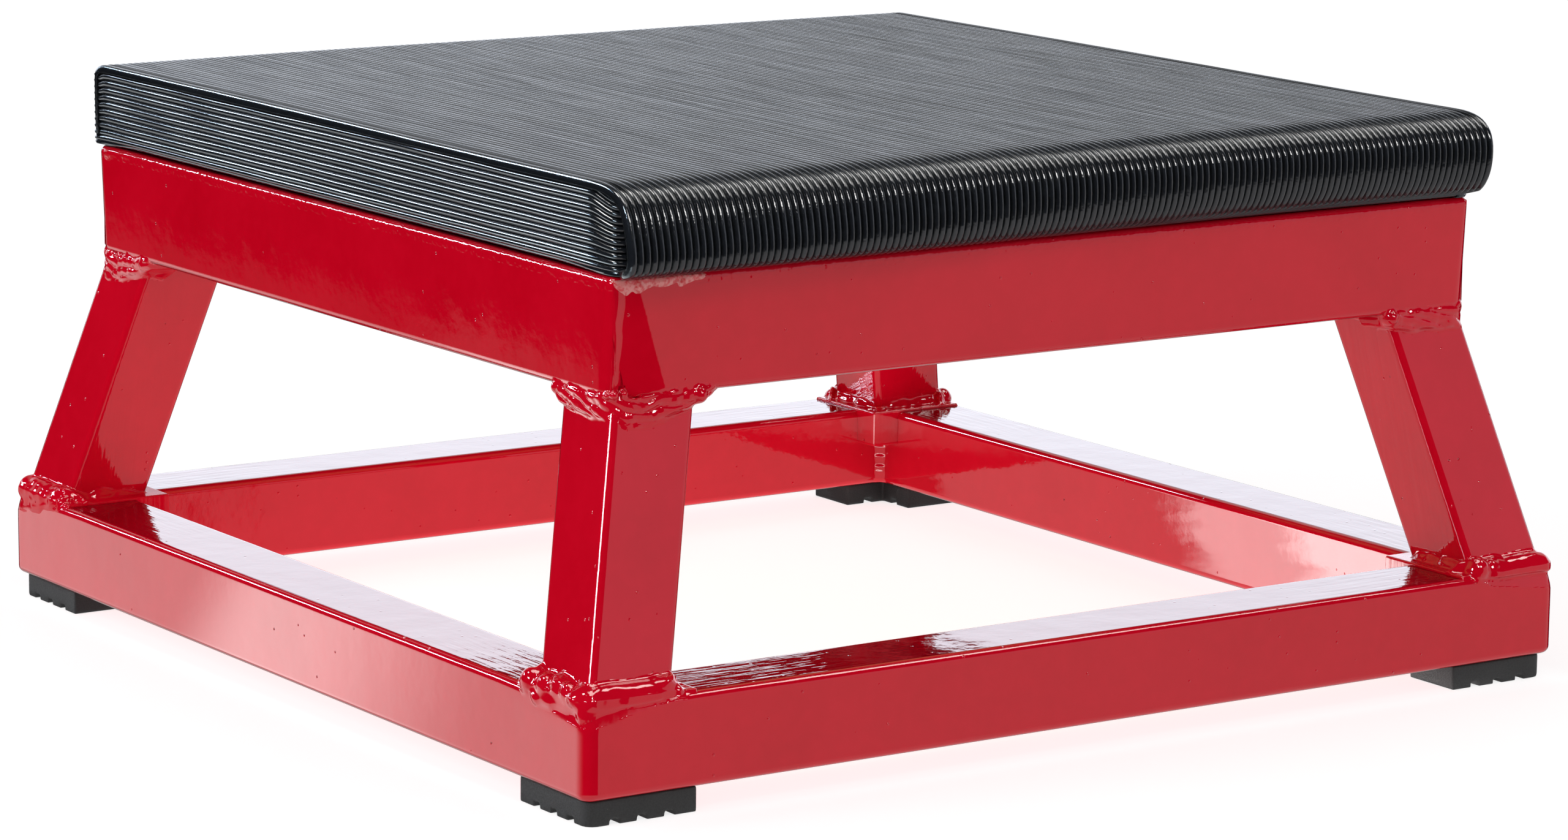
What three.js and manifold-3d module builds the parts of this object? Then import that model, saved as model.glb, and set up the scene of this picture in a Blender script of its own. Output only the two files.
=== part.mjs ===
// Low jump platform: a welded square-tube frame with four splayed legs, L-shaped rubber feet
// and a plywood deck wrapped in ribbed rubber. Millimetres, +Z up.
// Origin: centre of the base footprint, at floor level. -Y is the front.
import * as THREE from 'three';
import { mergeVertices } from 'three/addons/utils/BufferGeometryUtils.js';
import Module from 'manifold-3d';

const wasm = await Module();
wasm.setup();

// Frame
const BASE_SIZE = 412;
const TOP_SIZE = 362;
const TUBE_SIZE = 31.75;
const TUBE_WALL = 1.6;
const TUBE_CORNER_RADIUS = 2.6;
const TOP_TUBE_SIZE = 40;
const RING_CORNER_RADIUS = 5;
const BASE_UNDERSIDE_Z = 9;
const BASE_TOP_Z = BASE_UNDERSIDE_Z + TUBE_SIZE;
const TOP_UNDERSIDE_Z = 134;
const TOP_FACE_Z = TOP_UNDERSIDE_Z + TOP_TUBE_SIZE;
// Distance from each ring's outer face to the leg's centre line, at the leg's two ends
const LEG_FOOT_INSET = 20.5;
const LEG_HEAD_INSET = 19.2;

// Clearances
const MITRE_GAP = 0.3;
const FIT_GAP = 0.2;
const WELD_GAP = 0.3;

// Welds
const FOOT_WELD_TOE = 4;
const FOOT_WELD_HEIGHT = 7;
const HEAD_WELD_TOE = 2.6;
const HEAD_WELD_HEIGHT = 8;
const MITRE_WELD_SIZE = 5.2;
const MITRE_WELD_END = 1.6;

// Deck
const DECK_WIDTH = 364;
const DECK_UNDERSIDE_Z = TOP_FACE_Z + FIT_GAP;
const DECK_THICKNESS = 30.6;
const COVER_THICKNESS = 3.1;
const COVER_LIP_WIDTH = 30;
const NOSE_OVERHANG = 9.1;
const NOSE_HEIGHT = 15;
const BOARD_SIZE = 357;
const BOARD_THICKNESS = 18;
const UNDERLAY_DEPTH = 350;
const UNDERLAY_THICKNESS = 6;

// Corner tabs and the deck's screws
const TAB_LEG = 40;
const TAB_TIP = 6;
const TAB_THICKNESS = 3;
const TAB_HOLE_OFFSET = 12;
const DECK_SCREW_RADIUS = 2.5;
const DECK_SCREW_HEAD_RADIUS = 5;
const DECK_SCREW_HEAD_HEIGHT = 3;
const DECK_SCREW_BITE = 12;

// Feet
const FOOT_INSET = 3;
const FOOT_LENGTH = 42;
const FOOT_ARM_WIDTH = 24;
const FOOT_CORNER_RADIUS = 4;
const TREAD_PITCH = 10.5;
const TREAD_GROOVE_WIDTH = 3.6;
const TREAD_GROOVE_DEPTH = 2;
const TREAD_GROOVES = 3;
const FOOT_SCREW_OFFSET = 33;
const FOOT_SCREW_RADIUS = 2;
const FOOT_SCREW_HEAD_RADIUS = 4;
const FOOT_SCREW_HEAD_HEIGHT = 2.4;
const FOOT_SCREW_RECESS = 4.5;
const FOOT_SCREW_LENGTH = 16;

// Smoothness
const CORNER_STEPS = 2;
const ROUND_STEPS = 20;
const NOSE_STEPS = 7;

const redPaint = { color: 0xb71f2a, roughness: 0.25, metalness: 0.1 };
const ribbedRubber = { color: 0x1c1d20, roughness: 0.45, metalness: 0 };
const footRubber = { color: 0x262729, roughness: 0.75, metalness: 0 };
const zincSteel = { color: 0xb4b7ba, roughness: 0.35, metalness: 1 };
const plywood = { color: 0xc39a63, roughness: 0.8, metalness: 0 };
const greyFoam = { color: 0x55575b, roughness: 0.95, metalness: 0 };

const platform = new THREE.Group();

function toSolid(geometry) {
  const source = geometry.clone();
  source.deleteAttribute('normal');
  source.deleteAttribute('uv');
  const merged = mergeVertices(source, 1e-4);
  return new wasm.Manifold(new wasm.Mesh({
    numProp: 3,
    vertProperties: new Float32Array(merged.attributes.position.array),
    triVerts: new Uint32Array(merged.index.array),
  }));
}

function toGeometry(solid) {
  const mesh = solid.getMesh();
  const geometry = new THREE.BufferGeometry();
  geometry.setAttribute('position', new THREE.BufferAttribute(mesh.vertProperties, mesh.numProp));
  geometry.setIndex(new THREE.BufferAttribute(mesh.triVerts, 1));
  return geometry;
}

function addPiece(parent, name, geometry, look, position = [0, 0, 0]) {
  const mesh = new THREE.Mesh(geometry, new THREE.MeshStandardMaterial(look));
  mesh.name = name;
  mesh.position.set(...position);
  parent.add(mesh);
}

function extrude(shape, depth, steps = CORNER_STEPS) {
  return new THREE.ExtrudeGeometry(shape, { depth, bevelEnabled: false, curveSegments: steps });
}

// A box given by its low and high corners
function boxBetween(low, high) {
  const size = high.map((value, axis) => value - low[axis]);
  const box = new THREE.BoxGeometry(...size);
  return box.translate(...low.map((value, axis) => value + size[axis] / 2));
}

function traceRoundedSquare(path, halfSide, radius) {
  const straight = halfSide - radius;
  path.absarc(straight, straight, radius, 0, Math.PI / 2);
  path.absarc(-straight, straight, radius, Math.PI / 2, Math.PI);
  path.absarc(-straight, -straight, radius, Math.PI, Math.PI * 1.5);
  path.absarc(straight, -straight, radius, Math.PI * 1.5, Math.PI * 2);
  path.closePath();
  return path;
}

function tubeSection(side) {
  const section = traceRoundedSquare(new THREE.Shape(), side / 2, TUBE_CORNER_RADIUS);
  const bore = traceRoundedSquare(new THREE.Path(), side / 2 - TUBE_WALL, TUBE_CORNER_RADIUS - TUBE_WALL);
  section.holes.push(bore);
  return section;
}

// Plan view of a ring's front quarter, between its two mitres, with the outer corners rounded
function mitredPlan(ringSize, railWidth) {
  const half = ringSize / 2;
  const mitre = MITRE_GAP / 2 / Math.SQRT1_2;
  const arcCentre = half - RING_CORNER_RADIUS;
  const inner = half - railWidth - 1;
  const plan = new THREE.Shape();
  plan.moveTo(-inner + mitre, -inner);
  plan.absarc(-arcCentre + mitre, -arcCentre, RING_CORNER_RADIUS, Math.PI * 1.25, Math.PI * 1.5);
  plan.absarc(arcCentre - mitre, -arcCentre, RING_CORNER_RADIUS, Math.PI * 1.5, Math.PI * 1.75);
  plan.lineTo(inner - mitre, -inner);
  plan.closePath();
  return plan;
}

// A front rail: a square tube cut to a mitre at both ends
function mitredRail(ringSize, tubeSide, bottomZ) {
  const tube = extrude(tubeSection(tubeSide), ringSize);
  tube.translate(0, 0, -ringSize / 2);
  tube.rotateY(Math.PI / 2);
  tube.translate(0, -(ringSize - tubeSide) / 2, bottomZ + tubeSide / 2);
  const plan = extrude(mitredPlan(ringSize, tubeSide), tubeSide * 2);
  plan.translate(0, 0, bottomZ - tubeSide / 2);
  return toSolid(tube).intersect(toSolid(plan));
}

const sides = ['front', 'right', 'back', 'left'];
const corners = ['front_left', 'front_right', 'back_right', 'back_left'];

// Base ring: each rail has two holes in its underside for the feet's screws
const footCorner = BASE_SIZE / 2 - FOOT_INSET;
const footScrewAlong = footCorner - FOOT_SCREW_OFFSET;
const footScrewAcross = footCorner - FOOT_ARM_WIDTH / 2;
let baseRail = mitredRail(BASE_SIZE, TUBE_SIZE, BASE_UNDERSIDE_Z);
for (const side of [-1, 1]) {
  const drill = new THREE.CylinderGeometry(
    FOOT_SCREW_RADIUS + FIT_GAP, FOOT_SCREW_RADIUS + FIT_GAP, TUBE_WALL * 3, ROUND_STEPS);
  drill.rotateX(Math.PI / 2);
  drill.translate(side * footScrewAlong, -footScrewAcross, BASE_UNDERSIDE_Z);
  baseRail = baseRail.subtract(toSolid(drill));
}
const baseRailGeometry = toGeometry(baseRail);
const topRailGeometry = toGeometry(mitredRail(TOP_SIZE, TOP_TUBE_SIZE, TOP_UNDERSIDE_Z));
for (let side = 0; side < sides.length; side += 1) {
  const turn = side * Math.PI / 2;
  const group = new THREE.Group();
  group.rotation.z = turn;
  platform.add(group);
  addPiece(group, `base_rail_${sides[side]}`, baseRailGeometry, redPaint);
  addPiece(group, `top_rail_${sides[side]}`, topRailGeometry, redPaint);
}

// Leg: a square tube that leans in at the same angle towards both of its neighbours.
// It is drawn at the front left corner, with both ends cut level.
const legFoot = new THREE.Vector3(
  -BASE_SIZE / 2 + LEG_FOOT_INSET, -BASE_SIZE / 2 + LEG_FOOT_INSET, BASE_TOP_Z);
const legHead = new THREE.Vector3(
  -TOP_SIZE / 2 + LEG_HEAD_INSET, -TOP_SIZE / 2 + LEG_HEAD_INSET, TOP_UNDERSIDE_Z);
const legLine = legHead.clone().sub(legFoot);
const legTurn = new THREE.Quaternion().setFromUnitVectors(
  new THREE.Vector3(0, 0, 1), legLine.clone().normalize());
const legOverrun = TUBE_SIZE;

function alongLeg(shape) {
  const geometry = extrude(shape, legLine.length() + legOverrun * 2);
  geometry.translate(0, 0, -legOverrun);
  geometry.applyQuaternion(legTurn);
  geometry.translate(legFoot.x, legFoot.y, legFoot.z);
  return toSolid(geometry);
}

function levelSlab(lowZ, highZ) {
  return toSolid(boxBetween([-BASE_SIZE, -BASE_SIZE, lowZ], [BASE_SIZE, BASE_SIZE, highZ]));
}

const leg = alongLeg(tubeSection(TUBE_SIZE))
  .intersect(levelSlab(BASE_TOP_Z + FIT_GAP, TOP_UNDERSIDE_Z - FIT_GAP));
const legEnvelope = alongLeg(traceRoundedSquare(
  new THREE.Shape(), TUBE_SIZE / 2 + WELD_GAP, TUBE_CORNER_RADIUS + WELD_GAP));

// Weld bead around a leg's end: a rounded mound that leans with the leg, less the leg itself
function legWeld(seat, toe, height, direction) {
  const outline = traceRoundedSquare(new THREE.Shape(), TUBE_SIZE / 2 + 1, TUBE_CORNER_RADIUS + 1);
  const mound = new THREE.ExtrudeGeometry(outline, {
    depth: 1,
    bevelEnabled: true,
    bevelThickness: height - 1,
    bevelSize: toe,
    bevelSegments: 3,
    curveSegments: CORNER_STEPS,
  });
  mound.translate(0, 0, -0.5);
  const lean = new THREE.Matrix4().set(
    1, 0, legLine.x / legLine.z, 0,
    0, 1, legLine.y / legLine.z, 0,
    0, 0, 1, 0,
    0, 0, 0, 1);
  mound.applyMatrix4(lean);
  mound.translate(seat.x, seat.y, seat.z);
  const near = seat.z + direction * FIT_GAP;
  const far = seat.z + direction * height * 2;
  return toSolid(mound)
    .intersect(levelSlab(Math.min(near, far), Math.max(near, far)))
    .subtract(legEnvelope);
}

const legGeometry = toGeometry(leg);
const footWeldGeometry = toGeometry(legWeld(legFoot, FOOT_WELD_TOE, FOOT_WELD_HEIGHT, 1));
const headWeldGeometry = toGeometry(legWeld(legHead, HEAD_WELD_TOE, HEAD_WELD_HEIGHT, -1));

// Fillet bead up the inside of a mitre, drawn in the corner where +X and +Y meet walls at zero
function mitreWeld(height) {
  const bead = new THREE.Shape();
  bead.moveTo(WELD_GAP, WELD_GAP);
  bead.lineTo(MITRE_WELD_SIZE, WELD_GAP);
  bead.quadraticCurveTo(MITRE_WELD_SIZE / 2, MITRE_WELD_SIZE / 2, WELD_GAP, MITRE_WELD_SIZE);
  bead.closePath();
  return extrude(bead, height, ROUND_STEPS / 4);
}

const baseMitreWeld = mitreWeld(TUBE_SIZE - MITRE_WELD_END * 2);
const topMitreWeld = mitreWeld(TOP_TUBE_SIZE - MITRE_WELD_END - TAB_THICKNESS - WELD_GAP * 2);

// Corner tab: a triangular plate with cut tips and one screw hole
function cornerTab() {
  const plate = new THREE.Shape();
  plate.moveTo(FIT_GAP, FIT_GAP);
  plate.lineTo(TAB_LEG, FIT_GAP);
  plate.lineTo(TAB_LEG, TAB_TIP);
  plate.lineTo(TAB_TIP, TAB_LEG);
  plate.lineTo(FIT_GAP, TAB_LEG);
  plate.closePath();
  const hole = new THREE.Path();
  hole.absarc(TAB_HOLE_OFFSET, TAB_HOLE_OFFSET, DECK_SCREW_RADIUS + FIT_GAP, 0, Math.PI * 2);
  plate.holes.push(hole);
  return extrude(plate, TAB_THICKNESS, ROUND_STEPS / 2);
}

// Pan-head screw pointing up, with the underside of its head at zero
function panScrew(shankRadius, headRadius, headHeight, length) {
  const tipHeight = shankRadius;
  const crownRadius = headRadius * 0.6;
  const profile = [
    new THREE.Vector2(0, -headHeight),
    new THREE.Vector2(crownRadius, -headHeight),
    new THREE.Vector2(headRadius, -headHeight / 2),
    new THREE.Vector2(headRadius, 0),
    new THREE.Vector2(shankRadius, 0),
    new THREE.Vector2(shankRadius, length - tipHeight),
    new THREE.Vector2(0, length),
  ];
  const screw = new THREE.LatheGeometry(profile, ROUND_STEPS);
  screw.rotateX(Math.PI / 2);
  return toGeometry(toSolid(screw));
}

// Foot: an L of moulded rubber with cross grooves in its tread and a recess for each screw.
// It is drawn with its outer corner at the origin and its arms along +X and +Y.
function cornerFoot() {
  const outline = new THREE.Shape();
  outline.absarc(FOOT_CORNER_RADIUS, FOOT_CORNER_RADIUS, FOOT_CORNER_RADIUS, Math.PI, Math.PI * 1.5);
  outline.lineTo(FOOT_LENGTH, 0);
  outline.lineTo(FOOT_LENGTH, FOOT_ARM_WIDTH);
  outline.lineTo(FOOT_ARM_WIDTH, FOOT_ARM_WIDTH);
  outline.lineTo(FOOT_ARM_WIDTH, FOOT_LENGTH);
  outline.lineTo(0, FOOT_LENGTH);
  outline.closePath();
  let foot = toSolid(extrude(outline, BASE_UNDERSIDE_Z - FIT_GAP));
  for (let groove = 1; groove <= TREAD_GROOVES; groove += 1) {
    const low = groove * TREAD_PITCH - TREAD_GROOVE_WIDTH / 2;
    const high = low + TREAD_GROOVE_WIDTH;
    const across = boxBetween([low, -1, -1], [high, FOOT_ARM_WIDTH + 1, TREAD_GROOVE_DEPTH]);
    const along = boxBetween([-1, low, -1], [FOOT_ARM_WIDTH + 1, high, TREAD_GROOVE_DEPTH]);
    foot = foot.subtract(toSolid(across)).subtract(toSolid(along));
  }
  const armMiddle = FOOT_ARM_WIDTH / 2;
  for (const [x, y] of [[FOOT_SCREW_OFFSET, armMiddle], [armMiddle, FOOT_SCREW_OFFSET]]) {
    const recess = new THREE.CylinderGeometry(
      FOOT_SCREW_HEAD_RADIUS + 1, FOOT_SCREW_HEAD_RADIUS + 1, FOOT_SCREW_RECESS * 2, ROUND_STEPS);
    recess.rotateX(Math.PI / 2);
    recess.translate(x, y, 0);
    const hole = new THREE.CylinderGeometry(
      FOOT_SCREW_RADIUS + FIT_GAP, FOOT_SCREW_RADIUS + FIT_GAP, BASE_UNDERSIDE_Z * 3, ROUND_STEPS);
    hole.rotateX(Math.PI / 2);
    hole.translate(x, y, 0);
    foot = foot.subtract(toSolid(recess)).subtract(toSolid(hole));
  }
  return toGeometry(foot);
}

const tabGeometry = cornerTab();
const footGeometry = cornerFoot();
const footScrew = panScrew(
  FOOT_SCREW_RADIUS, FOOT_SCREW_HEAD_RADIUS, FOOT_SCREW_HEAD_HEIGHT, FOOT_SCREW_LENGTH - FOOT_SCREW_RECESS);
const deckScrewLength = DECK_SCREW_BITE + COVER_THICKNESS + TAB_THICKNESS + FIT_GAP;
const deckScrew = panScrew(
  DECK_SCREW_RADIUS, DECK_SCREW_HEAD_RADIUS, DECK_SCREW_HEAD_HEIGHT, deckScrewLength);
const tabUndersideZ = TOP_FACE_Z - TAB_THICKNESS;

// Each corner's pieces sit in a group turned about the platform's centre
for (let corner = 0; corner < corners.length; corner += 1) {
  const name = corners[corner];
  const turn = corner * Math.PI / 2;
  const group = new THREE.Group();
  group.rotation.z = turn;
  platform.add(group);
  const baseInner = -BASE_SIZE / 2 + TUBE_SIZE;
  const topInner = -TOP_SIZE / 2 + TOP_TUBE_SIZE;
  const hole = topInner + TAB_HOLE_OFFSET;
  addPiece(group, `leg_${name}`, legGeometry, redPaint);
  addPiece(group, `leg_foot_weld_${name}`, footWeldGeometry, redPaint);
  addPiece(group, `leg_head_weld_${name}`, headWeldGeometry, redPaint);
  addPiece(group, `base_mitre_weld_${name}`, baseMitreWeld, redPaint,
    [baseInner, baseInner, BASE_UNDERSIDE_Z + MITRE_WELD_END]);
  addPiece(group, `top_mitre_weld_${name}`, topMitreWeld, redPaint,
    [topInner, topInner, TOP_UNDERSIDE_Z + MITRE_WELD_END]);
  addPiece(group, `corner_tab_${name}`, tabGeometry, redPaint, [topInner, topInner, tabUndersideZ]);
  addPiece(group, `deck_screw_${name}`, deckScrew, zincSteel, [hole, hole, tabUndersideZ - FIT_GAP]);
  addPiece(group, `foot_${name}`, footGeometry, footRubber, [-footCorner, -footCorner, 0]);
  addPiece(group, `foot_screw_${name}_a`, footScrew, zincSteel,
    [-footScrewAlong, -footScrewAcross, FOOT_SCREW_RECESS - FIT_GAP]);
  addPiece(group, `foot_screw_${name}_b`, footScrew, zincSteel,
    [-footScrewAcross, -footScrewAlong, FOOT_SCREW_RECESS - FIT_GAP]);
}

// Side view of the deck, front to back, drawn in from its outer surface by an inset:
// flat above and below, with the rubber rolled around the front and back edges
function deckSideView(inset) {
  const flat = TOP_SIZE / 2 - 2;
  const shoulder = TOP_SIZE / 2 - 8;
  const nose = TOP_SIZE / 2 + NOSE_OVERHANG - inset;
  const low = inset;
  const high = DECK_THICKNESS - inset;
  const view = new THREE.Shape();
  view.moveTo(-flat, low);
  view.lineTo(flat, low);
  view.bezierCurveTo(flat + 7, low, nose, low + 7, nose, NOSE_HEIGHT);
  view.bezierCurveTo(nose, NOSE_HEIGHT + 10, nose - 5, high, shoulder, high);
  view.lineTo(-shoulder, high);
  view.bezierCurveTo(-nose + 5, high, -nose, NOSE_HEIGHT + 10, -nose, NOSE_HEIGHT);
  view.bezierCurveTo(-nose, low + 7, -flat - 7, low, -flat, low);
  return view;
}

function deckBlock(inset) {
  const width = DECK_WIDTH - inset * 2;
  const block = extrude(deckSideView(inset), width, NOSE_STEPS);
  block.rotateX(Math.PI / 2);
  block.rotateZ(Math.PI / 2);
  block.translate(-width / 2, 0, DECK_UNDERSIDE_Z);
  return toSolid(block);
}

// Rubber cover: a thin shell around the board, with its edges folded in underneath
const opening = TOP_SIZE / 2 - COVER_LIP_WIDTH;
const coverOpening = boxBetween(
  [-opening, -opening, DECK_UNDERSIDE_Z - 1],
  [opening, opening, DECK_UNDERSIDE_Z + COVER_THICKNESS + 1]);
const cover = deckBlock(0).subtract(deckBlock(COVER_THICKNESS)).subtract(toSolid(coverOpening));
addPiece(platform, 'rubber_cover', toGeometry(cover), ribbedRubber);

// Board, drilled from below for the deck's screws
const boardUndersideZ = DECK_UNDERSIDE_Z + COVER_THICKNESS + FIT_GAP;
const halfBoard = BOARD_SIZE / 2;
const screwOffset = TOP_SIZE / 2 - TOP_TUBE_SIZE - TAB_HOLE_OFFSET;
let board = toSolid(boxBetween(
  [-halfBoard, -halfBoard, boardUndersideZ],
  [halfBoard, halfBoard, boardUndersideZ + BOARD_THICKNESS]));
for (const x of [-screwOffset, screwOffset]) {
  for (const y of [-screwOffset, screwOffset]) {
    const pilot = new THREE.CylinderGeometry(
      DECK_SCREW_RADIUS + FIT_GAP, DECK_SCREW_RADIUS + FIT_GAP, DECK_SCREW_BITE * 2 + 4, ROUND_STEPS);
    pilot.rotateX(Math.PI / 2);
    pilot.translate(x, y, boardUndersideZ);
    board = board.subtract(toSolid(pilot));
  }
}
addPiece(platform, 'deck_board', toGeometry(board), plywood);

const underlayUndersideZ = boardUndersideZ + BOARD_THICKNESS + FIT_GAP / 2;
addPiece(platform, 'deck_underlay', boxBetween(
  [-halfBoard, -UNDERLAY_DEPTH / 2, underlayUndersideZ],
  [halfBoard, UNDERLAY_DEPTH / 2, underlayUndersideZ + UNDERLAY_THICKNESS]), greyFoam);

export default platform;
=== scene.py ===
"""Looks of a low jump platform: red welded tube frame, ribbed rubber deck and rubber feet.

Everything is in metres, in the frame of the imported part: origin at the centre of the base
footprint at floor level, +Z up, -Y front.
"""

import math

import bpy
import numpy as np
from mathutils import Matrix, Vector


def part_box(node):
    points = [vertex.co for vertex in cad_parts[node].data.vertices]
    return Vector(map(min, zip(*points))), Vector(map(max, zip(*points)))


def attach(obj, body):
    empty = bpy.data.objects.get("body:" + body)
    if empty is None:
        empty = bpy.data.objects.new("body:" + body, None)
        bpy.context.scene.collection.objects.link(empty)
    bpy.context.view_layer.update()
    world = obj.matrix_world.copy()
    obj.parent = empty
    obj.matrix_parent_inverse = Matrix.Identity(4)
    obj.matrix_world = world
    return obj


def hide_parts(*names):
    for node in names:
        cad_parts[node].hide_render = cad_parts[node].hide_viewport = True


MM = 0.001
SIDES = ("front", "right", "back", "left")
CORNERS = ("front_left", "front_right", "back_right", "back_left")

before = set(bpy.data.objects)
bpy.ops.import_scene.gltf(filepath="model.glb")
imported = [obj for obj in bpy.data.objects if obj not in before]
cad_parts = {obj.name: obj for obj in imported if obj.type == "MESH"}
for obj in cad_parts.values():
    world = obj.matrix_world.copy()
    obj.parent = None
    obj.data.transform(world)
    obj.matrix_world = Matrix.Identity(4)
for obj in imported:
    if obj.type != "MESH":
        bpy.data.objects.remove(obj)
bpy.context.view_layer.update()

# Frame sizes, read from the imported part
base_low, base_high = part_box("base_rail_front")
top_low, top_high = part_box("top_rail_front")
deck_low, deck_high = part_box("rubber_cover")
BASE_HALF = -base_low.y
BASE_TUBE = base_high.z - base_low.z
TOP_HALF = -top_low.y
TOP_TUBE = top_high.z - top_low.z
DECK_TOP = deck_high.z
DECK_BOTTOM = deck_low.z
DECK_HALF_WIDTH = deck_high.x

TUBE_RADIUS = 2.6 * MM
TUBE_WALL = 1.6 * MM
LEG_TUBE = 31.75 * MM
LEG_FOOT_INSET = 20.5 * MM
LEG_HEAD_INSET = 19.2 * MM

RIB_PITCH = 2.65 * MM
RIB_HEIGHT = 1.15 * MM
RUBBER_THICKNESS = 3.1 * MM
SHEET_EDGE_RADIUS = 1.3 * MM
# Where the mesh's columns lie across one rib, as shares of the pitch from groove to groove
RIB_PHASES = np.array([0.0, 0.09, 0.27, 0.5, 0.73, 0.91])
SIDE_RIB_PHASES = np.array([0.0, 0.05, 0.14, 0.30, 0.5, 0.70, 0.86, 0.95])


# ---------------------------------------------------------------- mesh helpers

def mesh_object(name, vertices, faces, material):
    """A new smooth-shaded mesh object from plain arrays of vertices and faces."""
    mesh = bpy.data.meshes.new(name)
    mesh.from_pydata([tuple(v) for v in vertices], [], faces)
    mesh.validate()
    mesh.update()
    mesh.polygons.foreach_set("use_smooth", [True] * len(mesh.polygons))
    mesh.materials.append(material)
    obj = bpy.data.objects.new(name, mesh)
    bpy.context.scene.collection.objects.link(obj)
    return obj


def grid_faces(rows, columns, wrap_rows=False, wrap_columns=False):
    """Quads over a grid of rows x columns vertices, as an array of vertex numbers."""
    row = np.arange(rows if wrap_rows else rows - 1)
    column = np.arange(columns if wrap_columns else columns - 1)
    r, c = np.meshgrid(row, column, indexing="ij")
    next_r, next_c = (r + 1) % rows, (c + 1) % columns
    quads = np.stack([r * columns + c, next_r * columns + c,
                      next_r * columns + next_c, r * columns + next_c], axis=-1)
    return quads.reshape(-1, 4)


def bezier(points, steps):
    """Points along one cubic curve, the last one left out."""
    t = np.linspace(0, 1, steps, endpoint=False)[:, None]
    a, b, c, d = (np.asarray(p, float) for p in points)
    return (1 - t) ** 3 * a + 3 * (1 - t) ** 2 * t * b + 3 * (1 - t) * t ** 2 * c + t ** 3 * d


def smoothstep(low, high, value):
    """Smooth ramp from 0 to 1 while value goes from low to high."""
    t = np.clip((value - low) / (high - low), 0, 1)
    return t * t * (3 - 2 * t)


def turned(points, quarter_turns):
    """Points turned about the Z axis by a number of quarter turns."""
    angle = quarter_turns * math.pi / 2
    c, s = math.cos(angle), math.sin(angle)
    x, y, z = points[..., 0], points[..., 1], points[..., 2]
    return np.stack([c * x - s * y, s * x + c * y, z], axis=-1)


def square_loop(half, radius, flat_steps=8):
    """Outline of a rounded square, with a support point close to each end of its flats."""
    support = 0.35 * MM
    straight = half - radius
    between = np.linspace(straight * 0.9, -straight * 0.9, flat_steps - 1)
    flat = np.concatenate([[straight - support], between, [-straight + support]])
    angles = np.linspace(0, math.pi / 2, 7)
    loop = []
    for quarter in range(4):
        arc = np.stack([straight + radius * np.cos(angles), straight + radius * np.sin(angles)], axis=1)
        side = np.stack([flat, np.full(len(flat), half)], axis=1)
        c, s = math.cos(quarter * math.pi / 2), math.sin(quarter * math.pi / 2)
        piece = np.concatenate([arc, side])
        loop.append(piece @ np.array([[c, s], [-s, c]]))
    return np.concatenate(loop)


# ---------------------------------------------------------------- node helpers

class Nodes:
    """Short calls for building one material's node tree."""

    def __init__(self, tree):
        self.tree = tree
        self.tree.nodes.clear()

    def add(self, kind, inputs=None, **settings):
        node = self.tree.nodes.new(kind)
        for key, value in settings.items():
            setattr(node, key, value)
        self.fill(node, inputs or {})
        return node

    def fill(self, node, inputs):
        for key, value in inputs.items():
            self.put(node.inputs[key], value)

    def put(self, socket, value):
        if isinstance(value, bpy.types.NodeSocket):
            self.tree.links.new(value, socket)
        else:
            socket.default_value = value

    def math(self, operation, a, b=0.0):
        return self.add("ShaderNodeMath", {0: a, 1: b}, operation=operation).outputs[0]

    def times(self, first, *others):
        for other in others:
            first = self.math("MULTIPLY", first, other)
        return first

    def plus(self, a, b):
        return self.math("ADD", a, b)

    def rest(self, value):
        """What is left of one after taking the value away."""
        return self.math("SUBTRACT", 1.0, value)

    def most(self, first, *others):
        """The greatest of the values."""
        for other in others:
            first = self.math("MAXIMUM", first, other)
        return first

    def step(self, value, low, high, to_low=0.0, to_high=1.0):
        """Smooth ramp from to_low to to_high while value goes from low to high."""
        node = self.add("ShaderNodeMapRange", {"Value": value, "From Min": low, "From Max": high,
                                               "To Min": to_low, "To Max": to_high},
                        interpolation_type="SMOOTHSTEP")
        return node.outputs["Result"]

    def band(self, value, low, high, soft):
        """One inside low..high, falling to zero over `soft` on both sides."""
        rise = self.step(value, low - soft, low)
        fall = self.step(value, high, high + soft, 1.0, 0.0)
        return self.times(rise, fall)

    def mix(self, factor, a, b):
        """Colour a where the factor is 0 and colour b where it is 1."""
        return self.add("ShaderNodeMix", {0: factor, 6: a, 7: b}, data_type="RGBA").outputs[2]

    def noise(self, vector, scale, detail=3.0, roughness=0.5):
        node = self.add("ShaderNodeTexNoise", {"Vector": vector, "Scale": scale, "Detail": detail,
                                               "Roughness": roughness})
        return node.outputs["Fac"]

    def xyz(self, vector):
        """The three coordinates of a vector, by name."""
        return self.add("ShaderNodeSeparateXYZ", {"Vector": vector}).outputs

    def attribute(self, name):
        return self.add("ShaderNodeAttribute", attribute_name=name).outputs["Fac"]

    def specks(self, place, scale, small, large, share):
        """Round specks in a share of the cells of a pattern, for each of the given shares."""
        cells = self.add("ShaderNodeTexVoronoi", {"Vector": place, "Scale": scale, "Randomness": 1.0})
        chance = self.add("ShaderNodeSeparateColor", {"Color": cells.outputs["Color"]})
        spot = self.step(cells.outputs["Distance"], small, large, 1.0, 0.0)
        return [self.times(spot, self.math("GREATER_THAN", chance.outputs[i], 1 - part))
                for i, part in enumerate(share)]

    def bump(self, height, distance, strength=1.0, normal=None):
        node = self.add("ShaderNodeBump", {"Height": height, "Distance": distance, "Strength": strength})
        if normal is not None:
            self.put(node.inputs["Normal"], normal)
        return node.outputs["Normal"]


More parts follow.
